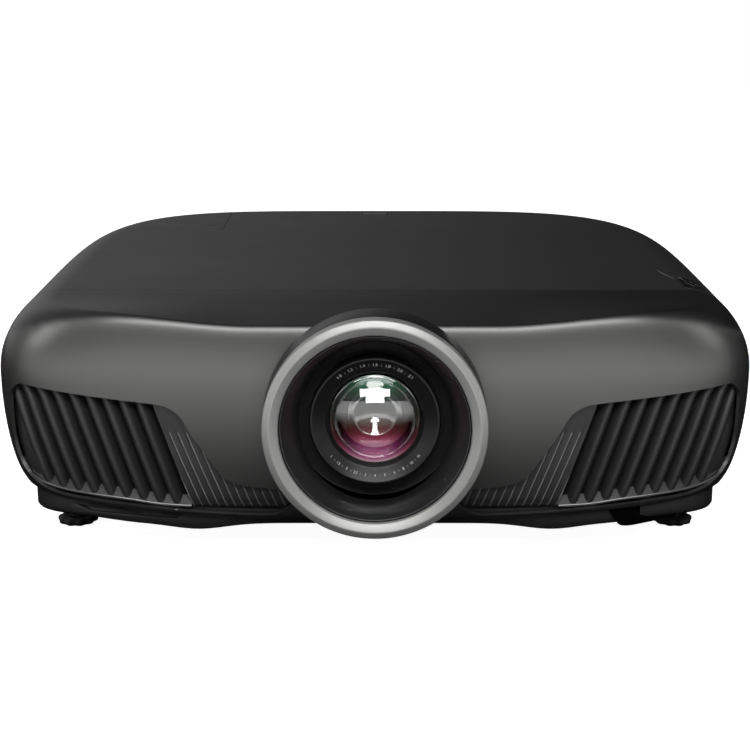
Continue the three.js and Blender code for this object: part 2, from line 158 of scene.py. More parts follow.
world = bpy.data.worlds.new("studio")
bpy.context.scene.world = world
world.use_nodes = True
room = world.node_tree.nodes["Background"]
direction = add_node(world, "ShaderNodeTexCoord")
axes = add_node(world, "ShaderNodeSeparateXYZ", Vector=direction.outputs["Generated"])
behind = add_node(world, "ShaderNodeMapRange", {"in_From_Min": -0.3, "in_From_Max": 0.5, "in_To_Min": 0.0,
                  "in_To_Max": 1.0}, Value=axes.outputs["Y"])
leftward = add_node(world, "ShaderNodeMapRange", {"in_From_Min": -0.55, "in_From_Max": 0.15,
                    "in_To_Min": 0.62, "in_To_Max": 0.02}, Value=axes.outputs["X"])
dim_room = add_node(world, "ShaderNodeMix", {"data_type": "FLOAT", "in_2": 0.2},
                    Factor=behind.outputs["Result"], n3=leftward.outputs["Result"])
seen = add_node(world, "ShaderNodeLightPath")
level = add_node(world, "ShaderNodeMix", {"data_type": "FLOAT", "in_3": 1.0},
                 Factor=seen.outputs["Is Camera Ray"], n2=dim_room.outputs[0])
world.node_tree.links.new(level.outputs[0], room.inputs["Strength"])
room.inputs["Color"].default_value = (1, 1, 1, 1)


def soft_light(name, place, target, width, height, watts):
    data = bpy.data.lights.new(name, "AREA")
    data.shape = "RECTANGLE"
    data.size, data.size_y, data.energy = width, height, watts
    light = bpy.data.objects.new(name, data)
    light.location = place
    light.rotation_euler = (Vector(target) - Vector(place)).to_track_quat("-Z", "Y").to_euler()
    bpy.context.scene.collection.objects.link(light)
    return light


soft_light("front_light", (0, -1.9, 1.7), (0, -0.2, 0.1), 2.2, 0.9, 60)
soft_light("left_light", (-1.9, -0.9, 0.9), (-0.1, -0.15, 0.1), 0.7, 1.0, 9)
soft_light("right_light", (1.9, -0.9, 0.9), (0.1, -0.15, 0.1), 0.7, 1.0, 6)
glass_lights = [soft_light("lens_light_head", (0, -2.4, 0.37), (0, -0.2, 0.1), 0.98, 0.28, 26),
                soft_light("lens_light_stem", (0, -2.4, 0.125), (0, -0.2, 0.1), 0.56, 0.2, 11),
                soft_light("lens_light_high", (0, -2.4, 1.0), (0, -0.2, 0.1), 0.6, 0.8, 18)]


# Body form: every moulding follows one rounded shape, 520 mm wide, whose plan is a rounded
# rectangle and whose top rises to the rear between two raised front shoulders.
CENTRE_Y, WAIST_Z, LIP_Z = -86, 119.3, 35
AXIS_Z = 102
WALL = 2.4
FRONT_TUCK = 7
crest_stations = [(-186, 160.5), (-150, 166.8), (-110, 172.2), (0, 178.6), (100, 184.8), (212, 189.2)]


def smoothstep(value, low, high):
    t = min(1, max(0, (value - low) / (high - low)))
    return t * t * (3 - 2 * t)


def crest_height(x, y):
    """Height of the top over a point in plan, as a smooth curve through a few stations."""
    stations = crest_stations
    last = len(stations) - 2
    i = max([0] + [k for k in range(last + 1) if stations[k][0] <= y])
    (y1, z1), (y2, z2) = stations[i], stations[i + 1]
    (y0, z0), (y3, z3) = stations[max(i - 1, 0)], stations[min(i + 2, last + 1)]
    t = min(1, max(0, (y - y1) / (y2 - y1)))
    slope_in = (z2 - z0) / (y2 - y0) * (y2 - y1)
    slope_out = (z3 - z1) / (y3 - y1) * (y2 - y1)
    height = ((2 * t ** 3 - 3 * t ** 2 + 1) * z1 + (t ** 3 - 2 * t ** 2 + t) * slope_in
              + (3 * t ** 2 - 2 * t ** 3) * z2 + (t ** 3 - t ** 2) * slope_out)
    shoulder = smoothstep(abs(x), 80, 185) * (1 - smoothstep(y, -195, -120))
    return height + 8 * shoulder


def lip_height(x, y=-200):
    """Height of the lower edge: level at the sides and rear, and bowed down in the middle in front."""
    front = smoothstep(-y, 110, 150)
    return LIP_Z + front * (28.6 + 10.3 * (abs(x) / 216) ** 2.2 - LIP_Z)


def body_point(turn, climb, inset=0):
    """A point of the body form. turn is the plan direction; climb runs from -90 at the lip and 0 at
    the waist to 90 at the crest, and on to 180 in the middle of the top."""
    tilt = math.radians(min(climb, 90))
    scale = 1 if climb <= 90 else (180 - climb) / 90
    tuck = 1 - math.cos(tilt)
    ahead = math.sin(turn)
    if climb >= 0:
        width = 260 - inset - (43.7 - 17 * max(0, -ahead)) * tuck
        reach = 100.2 - inset - 6.6 * tuck if ahead < 0 else 311 - inset - 39.4 * tuck
    else:
        width = 260 - inset - (28.8 - 10 * smoothstep(-ahead, 0.04, 0.26)) * tuck
        reach = 100.2 - inset - FRONT_TUCK * tuck if ahead < 0 else 311 - inset - 30 * tuck
    power = 4.47 if ahead < 0 else 4.3
    radius = (abs(math.cos(turn) / width) ** power + abs(ahead / reach) ** power) ** (-1 / power)
    x = scale * radius * math.cos(turn)
    y = CENTRE_Y + scale * radius * ahead
    if climb < 0:
        return Vector((x, y, WAIST_Z + math.sin(tilt) * (WAIST_Z - lip_height(x, y))))
    return Vector((x, y, WAIST_Z + math.sin(tilt) * (crest_height(x, y) - inset - WAIST_Z)))


def front_y(x, z, inset=0):
    """How far forward the front wall stands at a point of the front view, below the waist."""
    tilt = math.asin(max(-1, min(0, (z - WAIST_Z) / (WAIST_Z - lip_height(x)))))
    tuck = 1 - math.cos(tilt)
    width = 260 - inset - 18.8 * tuck
    reach = 100.2 - inset - FRONT_TUCK * tuck
    return CENTRE_Y - reach * max(0, 1 - abs(x / width) ** 4.47) ** (1 / 4.47)


def body_skin():
    """The whole body as one smooth skin, from a sphere whose rings are pushed out to the form. The
    layer "painted" is 1 where the skin faces forwards or sideways, and 0 on the top."""
    skin = bmesh.new()
    bmesh.ops.create_uvsphere(skin, u_segments=176, v_segments=108, radius=1)
    underside = [vertex for vertex in skin.verts if vertex.co.z < math.sin(math.radians(-30.5))]
    bmesh.ops.delete(skin, geom=underside, context="VERTS")
    for vertex in skin.verts:
        lift = math.degrees(math.asin(max(-1, min(1, vertex.co.z))))
        turn = math.atan2(vertex.co.y, vertex.co.x)
        if lift < 0:
            vertex.co = body_point(turn, max(-90, lift * 3))
        elif lift < 50:
            vertex.co = body_point(turn, lift * 1.8)
        else:
            vertex.co = body_point(turn, 90 + (lift - 50) * 90 / 40)
    skin.normal_update()
    painted = skin.verts.layers.float.new("painted")
    for vertex in skin.verts:
        vertex[painted] = 1 - smoothstep(vertex.normal.z, 0.38, 0.56)
    return skin


whole_skin = body_skin()


def slice_off(shape, point, outward):
    """Cuts the shape at a plane and drops what lies on the outward side."""
    everything = shape.verts[:] + shape.edges[:] + shape.faces[:]
    bmesh.ops.bisect_plane(shape, geom=everything, dist=1e-4, plane_co=point, plane_no=outward,
                           clear_outer=True)


def hide_box(shape, low, high):
    """Cuts along the six sides of a box and drops the skin inside it."""
    for axis in range(3):
        for place in (low[axis], high[axis]):
            if abs(place) > 350:
                continue
            normal = Vector((0, 0, 0))
            normal[axis] = 1
            near = [f for f in shape.faces if all(
                min(v.co[k] for v in f.verts) < high[k] + 1 and max(v.co[k] for v in f.verts) > low[k] - 1
                for k in range(3))]
            parts = set(near) | {e for f in near for e in f.edges} | {v for f in near for v in f.verts}
            bmesh.ops.bisect_plane(shape, geom=list(parts), dist=1e-4, plane_co=normal * place,
                                   plane_no=normal)
    inside = []
    for face in shape.faces:
        centre = face.calc_center_median()
        if all(low[k] < centre[k] < high[k] for k in range(3)):
            inside.append(face)
    bmesh.ops.delete(shape, geom=inside, context="FACES")


def inside_outline(x, z, outline):
    """True if a point of the front view lies inside a closed outline."""
    inside = False
    for (x0, z0), (x1, z1) in zip(outline, outline[1:] + outline[:1]):
        if (z0 > z) != (z1 > z) and x < (x1 - x0) * (z - z0) / (z1 - z0) + x0:
            inside = not inside
    return inside


def score_outline(shape, outline, behind_y):
    """Scores the skin in front of behind_y along an outline drawn in the front view."""
    for (x0, z0), (x1, z1) in zip(outline, outline[1:] + outline[:1]):
        low_x, high_x = min(x0, x1) - 0.5, max(x0, x1) + 0.5
        low_z, high_z = min(z0, z1) - 0.5, max(z0, z1) + 0.5
        near = []
        for face in shape.faces:
            xs = [v.co.x for v in face.verts]
            zs = [v.co.z for v in face.verts]
            if max(xs) < low_x or min(xs) > high_x or max(zs) < low_z or min(zs) > high_z:
                continue
            if face.verts[0].co.y < behind_y:
                near.append(face)
        parts = set(near) | {e for f in near for e in f.edges} | {v for f in near for v in f.verts}
        bmesh.ops.bisect_plane(shape, geom=list(parts), dist=1e-4, plane_co=(x0, 0, z0),
                               plane_no=(z1 - z0, 0, x0 - x1))


def rounded(corners, reach, steps=5):
    """An outline whose corners are turned into short curves; reach is how far each one starts."""
    outline = []
    count = len(corners)
    for i, corner in enumerate(corners):
        here = Vector(corner)
        before, after = Vector(corners[i - 1]), Vector(corners[(i + 1) % count])
        span = min(reach, (before - here).length * 0.45, (after - here).length * 0.45)
        start = here + (before - here).normalized() * span
        end = here + (after - here).normalized() * span
        for k in range(steps + 1):
            t = k / steps
            point = start * (1 - t) ** 2 + here * (2 * t * (1 - t)) + end * t * t
            outline.append((point.x, point.y))
    return outline


def place_piece(name, shape, material, body, smooth=True):
    """Makes the finished shape, in millimetres, a named piece in metres that rides on its body."""
    bmesh.ops.scale(shape, vec=(MM, MM, MM), verts=shape.verts)
    mesh = bpy.data.meshes.new(name)
    shape.to_mesh(mesh)
    shape.free()
    for polygon in mesh.polygons:
        polygon.use_smooth = smooth
    mesh.materials.append(material)
    piece = bpy.data.objects.new(name, mesh)
    bpy.context.scene.collection.objects.link(piece)
    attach(piece, body)
    return piece


def pour(shape, into):
    """Adds one shape's mesh to another's and lets the first one go."""
    mesh = bpy.data.meshes.new("part")
    shape.to_mesh(mesh)
    shape.free()
    into.from_mesh(mesh)
    bpy.data.meshes.remove(mesh)


def thicken(piece, wall, edge, segments=3, angle=35):
    """Gives a skin its wall, inwards, and rounds the edges of the moulding."""
    solid = piece.modifiers.new("wall", "SOLIDIFY")
    solid.thickness = wall * MM
    solid.offset = -1
    round_edges(piece, edge, segments, angle)
    even = piece.modifiers.new("even_shading", "WEIGHTED_NORMAL")
    even.mode = "FACE_AREA"
    even.weight = 50


def round_edges(piece, edge, segments=3, angle=35):
    bevel = piece.modifiers.new("rounded_edges", "BEVEL")
    bevel.width = edge * MM
    bevel.segments = segments
    bevel.limit_method = "ANGLE"
    bevel.angle_limit = math.radians(angle)
    bevel.miter_outer = "MITER_ARC"
    bevel.use_clamp_overlap = True
    bevel.harden_normals = False


# Black moulding: the top cover, base, doors and small black parts are ABS moulded in a fine spark
# texture, which breaks up the shine; the grain is drawn at 0.5 mm so that it just shows.
black_abs = new_material("spark_textured_black_abs", "#1d1d1e", 0.42, IOR=1.53)
add_grain(black_abs, 2000.0, 2.0, 0.10, 0.0002)
vary_roughness(black_abs, 30.0, 3.0, 0.38, 0.47)

# Top cover: the upper shell from the parting line back, moulded black ABS. It is cut away for the
# lamp cover at the left rear, the control door at the right and the small rear window.
PART = 0.25
PARTING_Y, PARTING_Z = -110, 100
LAMP_BAY = ((-400, 100, 70), (-126, 400, 400))
TOP_WINDOW = ((-11, 167.5, 175), (11, 178.5, 400))
CONTROL_DOOR = ((240, -20, 108), (400, 70, 149))
STATUS_STRIP = ((216, -104, 140), (232, -74, 400))


def grown(box, by):
    low, high = Vector(box[0]), Vector(box[1])
    return low - Vector((by, by, by)), high + Vector((by, by, by))


cover_skin = whole_skin.copy()
slice_off(cover_skin, (0, PARTING_Y + PART, 0), (0, -1, 0))
slice_off(cover_skin, (0, 0, PARTING_Z + PART), (0, 0, -1))
for opening in (LAMP_BAY, TOP_WINDOW, CONTROL_DOOR, STATUS_STRIP):
    hide_box(cover_skin, *grown(opening, PART))
top_cover = place_piece("top_cover_shell", cover_skin, black_abs, "chassis")
thicken(top_cover, WALL, 0.5)
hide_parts("top_cover")

# Lamp cover: the left rear corner of the shell, a separate black moulding held by one captive screw.
lamp_skin = whole_skin.copy()
slice_off(lamp_skin, (-126 - PART, 0, 0), (1, 0, 0))
slice_off(lamp_skin, (0, 100 + PART, 0), (0, -1, 0))
slice_off(lamp_skin, (0, 0, 70 + PART), (0, 0, -1))
lamp_cover = place_piece("lamp_cover_shell", lamp_skin, black_abs, "lamp_cover")
thicken(lamp_cover, WALL, 0.5)
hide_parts("lamp_cover")

# Control door: a flush flap in the right side, moulded with the cover's texture.
door_skin = whole_skin.copy()
low, high = grown(CONTROL_DOOR, -PART)
slice_off(door_skin, (low.x, 0, 0), (-1, 0, 0))
for axis in (1, 2):
    for corner, sign in ((low, -1), (high, 1)):
        normal = Vector((0, 0, 0))
        normal[axis] = sign
        slice_off(door_skin, corner, normal)
control_door = place_piece("control_door_flap", door_skin, black_abs, "control_door")
thicken(control_door, WALL, 0.4)
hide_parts("control_door")

# Base case: lower shell walls behind the fascia, moulded black, over an inset pan.
REAR_OPENING = ((-112, 180, 42), (112, 400, 93))
base_skin = whole_skin.copy()
slice_off(base_skin, (0, PARTING_Y + PART, 0), (0, -1, 0))
slice_off(base_skin, (0, 0, PARTING_Z - PART), (0, 0, 1))
for opening in (LAMP_BAY, REAR_OPENING):
    hide_box(base_skin, *grown(opening, PART))
base_walls = place_piece("base_case_walls", base_skin, black_abs, "chassis")
thicken(base_walls, WALL, 0.5)
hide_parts("base_case")
tongue_skin = whole_skin.copy()
slice_off(tongue_skin, (0, -112.5, 0), (0, -1, 0))
slice_off(tongue_skin, (0, -104, 0), (0, 1, 0))
tongue_skin.normal_update()
for vertex in tongue_skin.verts:
    vertex.co -= vertex.normal * (WALL + 0.15)
tongue = place_piece("parting_tongue", tongue_skin, black_abs, "chassis")
thicken(tongue, 1.2, 0.2, 2)

# Front fascia: gunmetal metallic paint on ABS in front of the parting line; past a soft fold, where the
# skin turns to face upward, the colour goes to near black and loses its metal. It has one opening on each
# side for louvres and fins, and the lens hole.
gunmetal = new_material("gunmetal_metallic_paint", "#595959", 0.35)
facing_mask = add_node(gunmetal, "ShaderNodeAttribute", {"attribute_name": "painted"})
paint_place = add_node(gunmetal, "ShaderNodeTexCoord")
flake = add_node(gunmetal, "ShaderNodeTexNoise", {"in_Scale": 3200.0, "in_Detail": 1.0},
                 Vector=paint_place.outputs["Object"])
flake_colour = add_node(gunmetal, "ShaderNodeMix", {"data_type": "RGBA", "in_6": linear("#545454"),
                        "in_7": linear("#5e5e5c")}, Factor=flake.outputs["Fac"])
# Near black where the skin faces upward, gunmetal where it faces forwards or sideways.
upward_black_blend = add_node(gunmetal, "ShaderNodeMix", {"data_type": "RGBA", "in_6": linear("#111112")},
                    Factor=facing_mask.outputs["Fac"], n7=flake_colour.outputs[2])
connect(gunmetal, upward_black_blend.outputs[2], "Base Color")
metal_amount = add_node(gunmetal, "ShaderNodeMapRange", {"in_To_Max": 0.85}, Value=facing_mask.outputs["Fac"])
connect(gunmetal, metal_amount.outputs["Result"], "Metallic")

opening_corners = [
    (-246.5, 112), (-239, 119.2), (-147.6, 109.8), (-137.7, 108.3), (-129.2, 102.6), (-120.7, 87.1),
    (-111, 73.5), (-103, 60.4), (-95.2, 54.9), (-85.7, 52.6), (-64.7, 50.6), (-52, 49.5), (-50, 44),
    (-57.4, 38), (-66, 31.8), (-76, 31.2), (-95, 32), (-113, 33), (-130, 34.4), (-144, 35.6),
    (-172, 38.4), (-190, 39.8), (-213, 41.8), (-227, 45.5), (-236, 52), (-243, 61), (-246.5, 75),
    (-247.2, 93)]
left_opening = rounded(opening_corners, 7)
right_opening = [(-x, z) for x, z in reversed(left_opening)]
fascia_skin = whole_skin.copy()
slice_off(fascia_skin, (0, PARTING_Y - PART, 0), (0, 1, 0))
lens_hole = [(66 * math.cos(math.tau * k / 72), AXIS_Z + 66 * math.sin(math.tau * k / 72)) for k in range(72)]
for outline, back in ((left_opening, -112), (right_opening, -112), (lens_hole, -172)):
    score_outline(fascia_skin, outline, back)
    gone = []
    for face in fascia_skin.faces:
        centre = face.calc_center_median()
        if centre.y < back and inside_outline(centre.x, centre.z, outline):
            gone.append(face)
    bmesh.ops.delete(fascia_skin, geom=gone, context="FACES")
rims = [vertex for vertex in fascia_skin.verts if vertex.is_boundary]
bmesh.ops.remove_doubles(fascia_skin, verts=rims, dist=0.8)
fascia = place_piece("front_fascia_shell", fascia_skin, gunmetal, "chassis")
thicken(fascia, WALL, 0.6)
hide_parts("front_fascia")

# Base pan: the inset tray under the body, moulded black, with a bowed front edge. A narrow groove runs
# along its left front, and the feet screw into it.
PAN_PLAN = (233, 88, 292)


def pan_point(turn, inset, z):
    ahead = math.sin(turn)
    width = PAN_PLAN[0] + 6 * smoothstep(-ahead, 0.04, 0.26) - inset
    front, rear = PAN_PLAN[1] - inset, PAN_PLAN[2] - inset
    reach, power = (front, 5.6) if ahead < 0 else (rear, 4.3)
    radius = (abs(math.cos(turn) / width) ** power + abs(ahead / reach) ** power) ** (-1 / power)
    x, y = radius * math.cos(turn), CENTRE_Y + radius * ahead
    near_front = smoothstep(-y, 100, 160)
    bow = near_front * (3.6 * smoothstep(abs(x), 155, 205) - 0.7
                        - 4.2 * math.exp(-((abs(x) - 120) / 26) ** 2))
    return Vector((x, y, z + bow * smoothstep(z, 32, 24)))


pan_shape = bmesh.new()
bmesh.ops.create_circle(pan_shape, segments=260, radius=1)
turns = {vertex: math.atan2(vertex.co.y, vertex.co.x) for vertex in pan_shape.verts}
for vertex, turn in turns.items():
    vertex.co = pan_point(turn, 0, 41)
edge_ring = pan_shape.edges[:]
for inset, z in ((0, 36), (0, 32), (0, 28), (0.4, 25.4), (1.4, 23.7), (3.4, 23), (7, 23), (14, 23)):
    grown_ring = bmesh.ops.extrude_edge_only(pan_shape, edges=edge_ring)["geom"]
    edge_ring = [part for part in grown_ring if isinstance(part, bmesh.types.BMEdge)]
    for vertex in {v for edge in edge_ring for v in edge.verts}:
        vertex.co = pan_point(math.atan2(vertex.co.y - CENTRE_Y, vertex.co.x), inset, z)
edge_ring = [edge for edge in edge_ring if edge.is_boundary and all(v.co.z < 30 for v in edge.verts)]
bmesh.ops.holes_fill(pan_shape, edges=edge_ring)
bmesh.ops.recalc_face_normals(pan_shape, faces=pan_shape.faces)
groove = [(-203, 34.5), (-192, 30.2), (-170, 29), (-150, 27.6), (-134, 26.6), (-132, 28), (-150, 30.2),
          (-172, 32.2), (-192, 34.6)]
score_outline(pan_shape, groove, -120)
groove_faces = []
for face in pan_shape.faces:
    centre = face.calc_center_median()
    if centre.y < -120 and inside_outline(centre.x, centre.z, groove):
        groove_faces.append(face)
pushed = bmesh.ops.extrude_face_region(pan_shape, geom=groove_faces)["geom"]
bmesh.ops.translate(pan_shape, vec=(0, 3.5, 0),
                    verts=[v for v in pushed if isinstance(v, bmesh.types.BMVert)])
bmesh.ops.delete(pan_shape, geom=groove_faces, context="FACES")
pan = place_piece("base_pan", pan_shape, black_abs, "chassis")
round_edges(pan, 0.5, 2, 40)
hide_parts("base_case")

# Front receiver window: a black glossy infrared window let into the right front of the pan, where it
# stands a little below the body's lip.
gloss_black = new_material("smoked_gloss_polycarbonate", "#050506", 0.08, IOR=1.58)
vary_roughness(gloss_black, 60.0, 4.0, 0.05, 0.14)


def front_patch(outline, x_count, z_count, depth):
    """A sheet shaped like the front wall, cut to an outline; depth(x, z) is how far behind it lies."""
    low_x, high_x = min(p[0] for p in outline) - 1, max(p[0] for p in outline) + 1
    low_z, high_z = min(p[1] for p in outline) - 1, max(p[1] for p in outline) + 1
    sheet = bmesh.new()
    bmesh.ops.create_grid(sheet, x_segments=x_count, y_segments=z_count, size=0.5)
    for vertex in sheet.verts:
        x = low_x + (high_x - low_x) * (vertex.co.x + 0.5)
        z = low_z + (high_z - low_z) * (vertex.co.y + 0.5)
        vertex.co = (x, depth(x, z), z)
    trim_to_outline(sheet, outline)
    return sheet


def trim_to_outline(sheet, outline):
    score_outline(sheet, outline, 0)
    outside = []
    for face in sheet.faces:
        centre = face.calc_center_median()
        if not inside_outline(centre.x, centre.z, outline):
            outside.append(face)
    bmesh.ops.delete(sheet, geom=outside, context="FACES")
    bmesh.ops.recalc_face_normals(sheet, faces=sheet.faces)
    if sum((face.normal.y for face in sheet.faces), 0.0) > 0:
        bmesh.ops.reverse_faces(sheet, faces=sheet.faces)


window_outline = rounded([(157.7, 33), (165.5, 21.4), (172, 20.8), (191, 23.4), (205, 24.6), (210.5, 27.8),
                          (214.5, 40), (157, 40)], 3)
window_shape = front_patch(window_outline, 40, 14, lambda x, z: front_y(x, max(z, 40), 5))
front_window = place_piece("receiver_window_lens", window_shape, gloss_black, "chassis")
thicken(front_window, 9, 0.8)
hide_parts("receiver_window_front")

# Lens collar, bowl and trim ring: a black satin cone carries the lens through the fascia, a turned
# aluminium ring caps it, and an oval-mouthed black bowl lines it.
satin_black = new_material("black_satin_lacquer", "#161617", 0.34, IOR=1.5)
add_grain(satin_black, 2400.0, 1.0, 0.06, 0.0002)


def turned(profile, steps=144, axis=(0, 1, 0), at=(0, 0, AXIS_Z)):
    """A turned solid; the profile lists radius and distance along the axis."""
    shape = bmesh.new()
    along = Vector(axis)
    outward = Vector((0, 0, 1)) if abs(along.z) < 0.5 else Vector((1, 0, 0))
    rim = [shape.verts.new(along * length + outward * radius) for radius, length in profile]
    loop = [shape.edges.new(pair) for pair in zip(rim, rim[1:] + rim[:1])
            if pair[0].co.cross(along).length > 1e-6 or pair[1].co.cross(along).length > 1e-6]
    bmesh.ops.spin(shape, geom=rim + loop, cent=(0, 0, 0), axis=along, dvec=(0, 0, 0),
                   angle=math.tau, steps=steps, use_merge=True, use_duplicate=False)
    bmesh.ops.remove_doubles(shape, verts=shape.verts, dist=1e-4)
    bmesh.ops.recalc_face_normals(shape, faces=shape.faces)
    bmesh.ops.translate(shape, vec=at, verts=shape.verts)
    return shape


collar_shape = turned([(70.8, -212.7), (72.0, -212.7), (72.7, -205), (73, -197), (73, -190), (70.6, -180),
                       (66.4, -166), (62, -150), (59.6, -150), (70.4, -188)])
collar = place_piece("collar_cone", collar_shape, satin_black, "chassis")
round_edges(collar, 0.5, 3, 30)
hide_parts("lens_collar")

aluminium = new_material("turned_satin_aluminium", "#8b8b8a", 0.42, Metallic=0.45)
ring_place = add_node(aluminium, "ShaderNodeTexCoord")
ring_centre = add_node(aluminium, "ShaderNodeMapping", {"in_Location": (0, 0, -AXIS_Z * MM)},
                       Vector=ring_place.outputs["Object"])
lathe_lines = add_node(aluminium, "ShaderNodeTexWave", {
    "wave_type": "RINGS", "rings_direction": "Y", "in_Scale": 350.0, "in_Distortion": 0.6,
    "in_Detail": 2.0}, Vector=ring_centre.outputs["Vector"])
lathe_bump = add_node(aluminium, "ShaderNodeBump", {"in_Strength": 0.05, "in_Distance": 0.0001},
                      Height=lathe_lines.outputs["Fac"])
connect(aluminium, lathe_bump.outputs["Normal"], "Normal")
blotch = add_node(aluminium, "ShaderNodeTexNoise", {"in_Scale": 120.0, "in_Detail": 3.0},
                  Vector=ring_centre.outputs["Vector"])
blotch_range = add_node(aluminium, "ShaderNodeMapRange", {"in_To_Min": 0.38, "in_To_Max": 0.46},
                        Value=blotch.outputs["Fac"])
connect(aluminium, blotch_range.outputs["Result"], "Roughness")
ring_shape = turned([(61.6, -221.2), (62.2, -222.4), (67.0, -225), (67.8, -225), (71.6, -223.2),
                     (72.1, -222.3), (72.1, -213), (68, -213), (61.6, -219.4)])
trim_ring = place_piece("trim_ring_turned", ring_shape, aluminium, "chassis")
round_edges(trim_ring, 0.3, 3, 20)
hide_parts("lens_trim_ring")

bowl_shape = turned([(61, -220.4), (60.2, -220.4), (55, -211.5), (49.7, -201.4), (49.7, -199.4),
                     (70.2, -199.4), (70.2, -212.4), (67.6, -212.4), (61, -218.9)])
for vertex in bowl_shape.verts:
    from_axis = math.hypot(vertex.co.x, vertex.co.z - AXIS_Z)
    if from_axis < 56:
        vertex.co.z = AXIS_Z + (vertex.co.z - AXIS_Z) * (1 + 0.0724 * (56 - from_axis) / 6.3)
bowl = place_piece("bowl_satin", bowl_shape, satin_black, "chassis")
round_edges(bowl, 0.5, 3, 30)
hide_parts("lens_bowl")

# Lens front: a black anodised barrel with a sloping dial ring, marked in white ink with plain zoom and
# distance numbers, and a flock-lined seal behind it that keeps dust and light out.
anodised = new_material("black_anodised_aluminium", "#1b1b1c", 0.38, Metallic=0.6)
add_grain(anodised, 3000.0, 1.0, 0.08, 0.0001)
# Near-black flock: the real lining of the dust seal, and also painted shade as the sheets behind the louvres
# and the bars in the screw's cross slot.
flock_and_shade_black = new_material("black_flock_and_painted_shade", "#060606", 0.95, Sheen_Weight=0.2)
add_grain(flock_and_shade_black, 1800.0, 3.0, 0.4, 0.0003)

dial_ring_shape = turned([(42.9, -198.4), (42.0, -199.8), (40.9, -199.8), (40.1, -199.2), (34.6, -196),
                          (33.8, -195.2), (32.4, -194.4), (31.6, -192.4), (30.2, -190.6), (30.2, -188.2),
                          (33, -188), (42.9, -188)])
dial_ring = place_piece("dial_ring", dial_ring_shape, anodised, "lens")
round_edges(dial_ring, 0.25, 3, 20)
barrel_shape = turned([(42.3, -187.9), (38.9, -187.9), (38.9, -75.5), (52, -75.5), (52, -79.4),
                       (42.3, -79.4)])
lens_tube = place_piece("lens_tube", barrel_shape, anodised, "lens")
round_edges(lens_tube, 0.4, 3, 30)
MOTOR_REACH = (50 + 0.3 + 9.5) * math.sqrt(0.5)
for name, side, near_y, far_y in (("focus", 1, -126.5, -101), ("zoom", -1, -147, -121.5)):
    motor = turned([(0, near_y), (7.2, near_y), (8, near_y + 0.8), (8, far_y - 3), (6, far_y - 2), (6, far_y),
                    (0, far_y)], steps=48, at=(side * MOTOR_REACH, 0, AXIS_Z + MOTOR_REACH))
    arm = bmesh.new()
    bmesh.ops.create_grid(arm, x_segments=4, y_segments=1, size=0.5)
    bmesh.ops.scale(arm, vec=(24, 12, 1), verts=arm.verts)
    bmesh.ops.rotate(arm, verts=arm.verts, cent=(0, 0, 0), matrix=Matrix.Rotation(math.pi / 2, 3, "X"))
    bmesh.ops.solidify(arm, geom=arm.faces[:], thickness=3)
    bmesh.ops.translate(arm, vec=(51 * side, -124, 0), verts=arm.verts)
    bmesh.ops.rotate(arm, verts=arm.verts, cent=(0, 0, 0),
                     matrix=Matrix.Rotation(-side * math.pi / 4, 3, "Y"))
    bmesh.ops.translate(arm, vec=(0, 0, AXIS_Z), verts=arm.verts)
    motor_piece = place_piece(name + "_motor_can", motor, anodised, "lens")
    round_edges(motor_piece, 0.3, 2, 40)
    arm_piece = place_piece(name + "_motor_arm", arm, anodised, "lens")
    round_edges(arm_piece, 0.6, 2, 40)
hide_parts("lens_barrel")
seal_shape = turned([(42.6, -186), (46, -184.5), (48, -186.5), (50, -184.5), (52, -186.5),
                     (54.6, -185), (54.6, -183), (52, -184.5), (50, -182.5), (48, -184.5),
                     (46, -182.5), (42.6, -184)], steps=96)
place_piece("dust_seal", seal_shape, flock_and_shade_black, "lens")

white_ink = new_material("white_pad_printed_ink", "#b9b9b6", 0.6)
vary_colour(white_ink, noise_in(white_ink, 900.0, 3.0), "#8e8e8b", "#d6d6d2")


def number_shape(text, size):
    """Flat lettering as a mesh in the plane of the front view, centred on the origin."""
    curve = bpy.data.curves.new("number", "FONT")
    curve.body, curve.size, curve.align_x, curve.align_y = text, size, "CENTER", "CENTER"
    carrier = bpy.data.objects.new("number", curve)
    mesh = bpy.data.meshes.new_from_object(carrier)
    shape = bmesh.new()
    shape.from_mesh(mesh)
    bmesh.ops.rotate(shape, verts=shape.verts, cent=(0, 0, 0), matrix=Matrix.Rotation(math.pi / 2, 3, "X"))
    bpy.data.objects.remove(carrier)
    bpy.data.curves.remove(curve)
    bpy.data.meshes.remove(mesh)
    return shape


def dial_marks(numbers, first, last, radius, size, upright):
    """Numbers spread along an arc of the dial ring, with a fine tick halfway between them."""
    marks = bmesh.new()
    for i, number in enumerate(numbers):
        bearing = first + (last - first) * i / (len(numbers) - 1)
        half_step = (last - first) / (len(numbers) - 1) / 2
        pieces = [(number_shape(number, size), bearing)]
        if i < len(numbers) - 1:
            pieces.append((number_shape("|", size * 0.6), bearing + half_step))
        for letter, angle in pieces:
            bmesh.ops.translate(letter, vec=(0, 0, radius if upright else -radius), verts=letter.verts)
            bmesh.ops.rotate(letter, verts=letter.verts, cent=(0, 0, 0),
                             matrix=Matrix.Rotation(math.radians(angle), 3, "Y"))
            for vertex in letter.verts:
                slope_y = -199.5 + (40.3 - math.hypot(vertex.co.x, vertex.co.z)) * 0.602
                vertex.co.y = slope_y - 0.32
            pour(letter, marks)
    bmesh.ops.translate(marks, vec=(0, 0, AXIS_Z), verts=marks.verts)
    return marks


zoom_numbers = dial_marks(["1.0", "1.2", "1.4", "1.6", "1.8", "2.0", "2.1"], -38, 38, 37.4, 3.0, True)
place_piece("dial_zoom_numbers", zoom_numbers, white_ink, "lens", smooth=False)
range_numbers = dial_marks(["1", "1.5", "2", "2.5", "3", "4", "5", "6", "8", "10", "15"], 50, -50, 37.2, 2.3,
                           False)
place_piece("dial_range_numbers", range_numbers, white_ink, "lens", smooth=False)
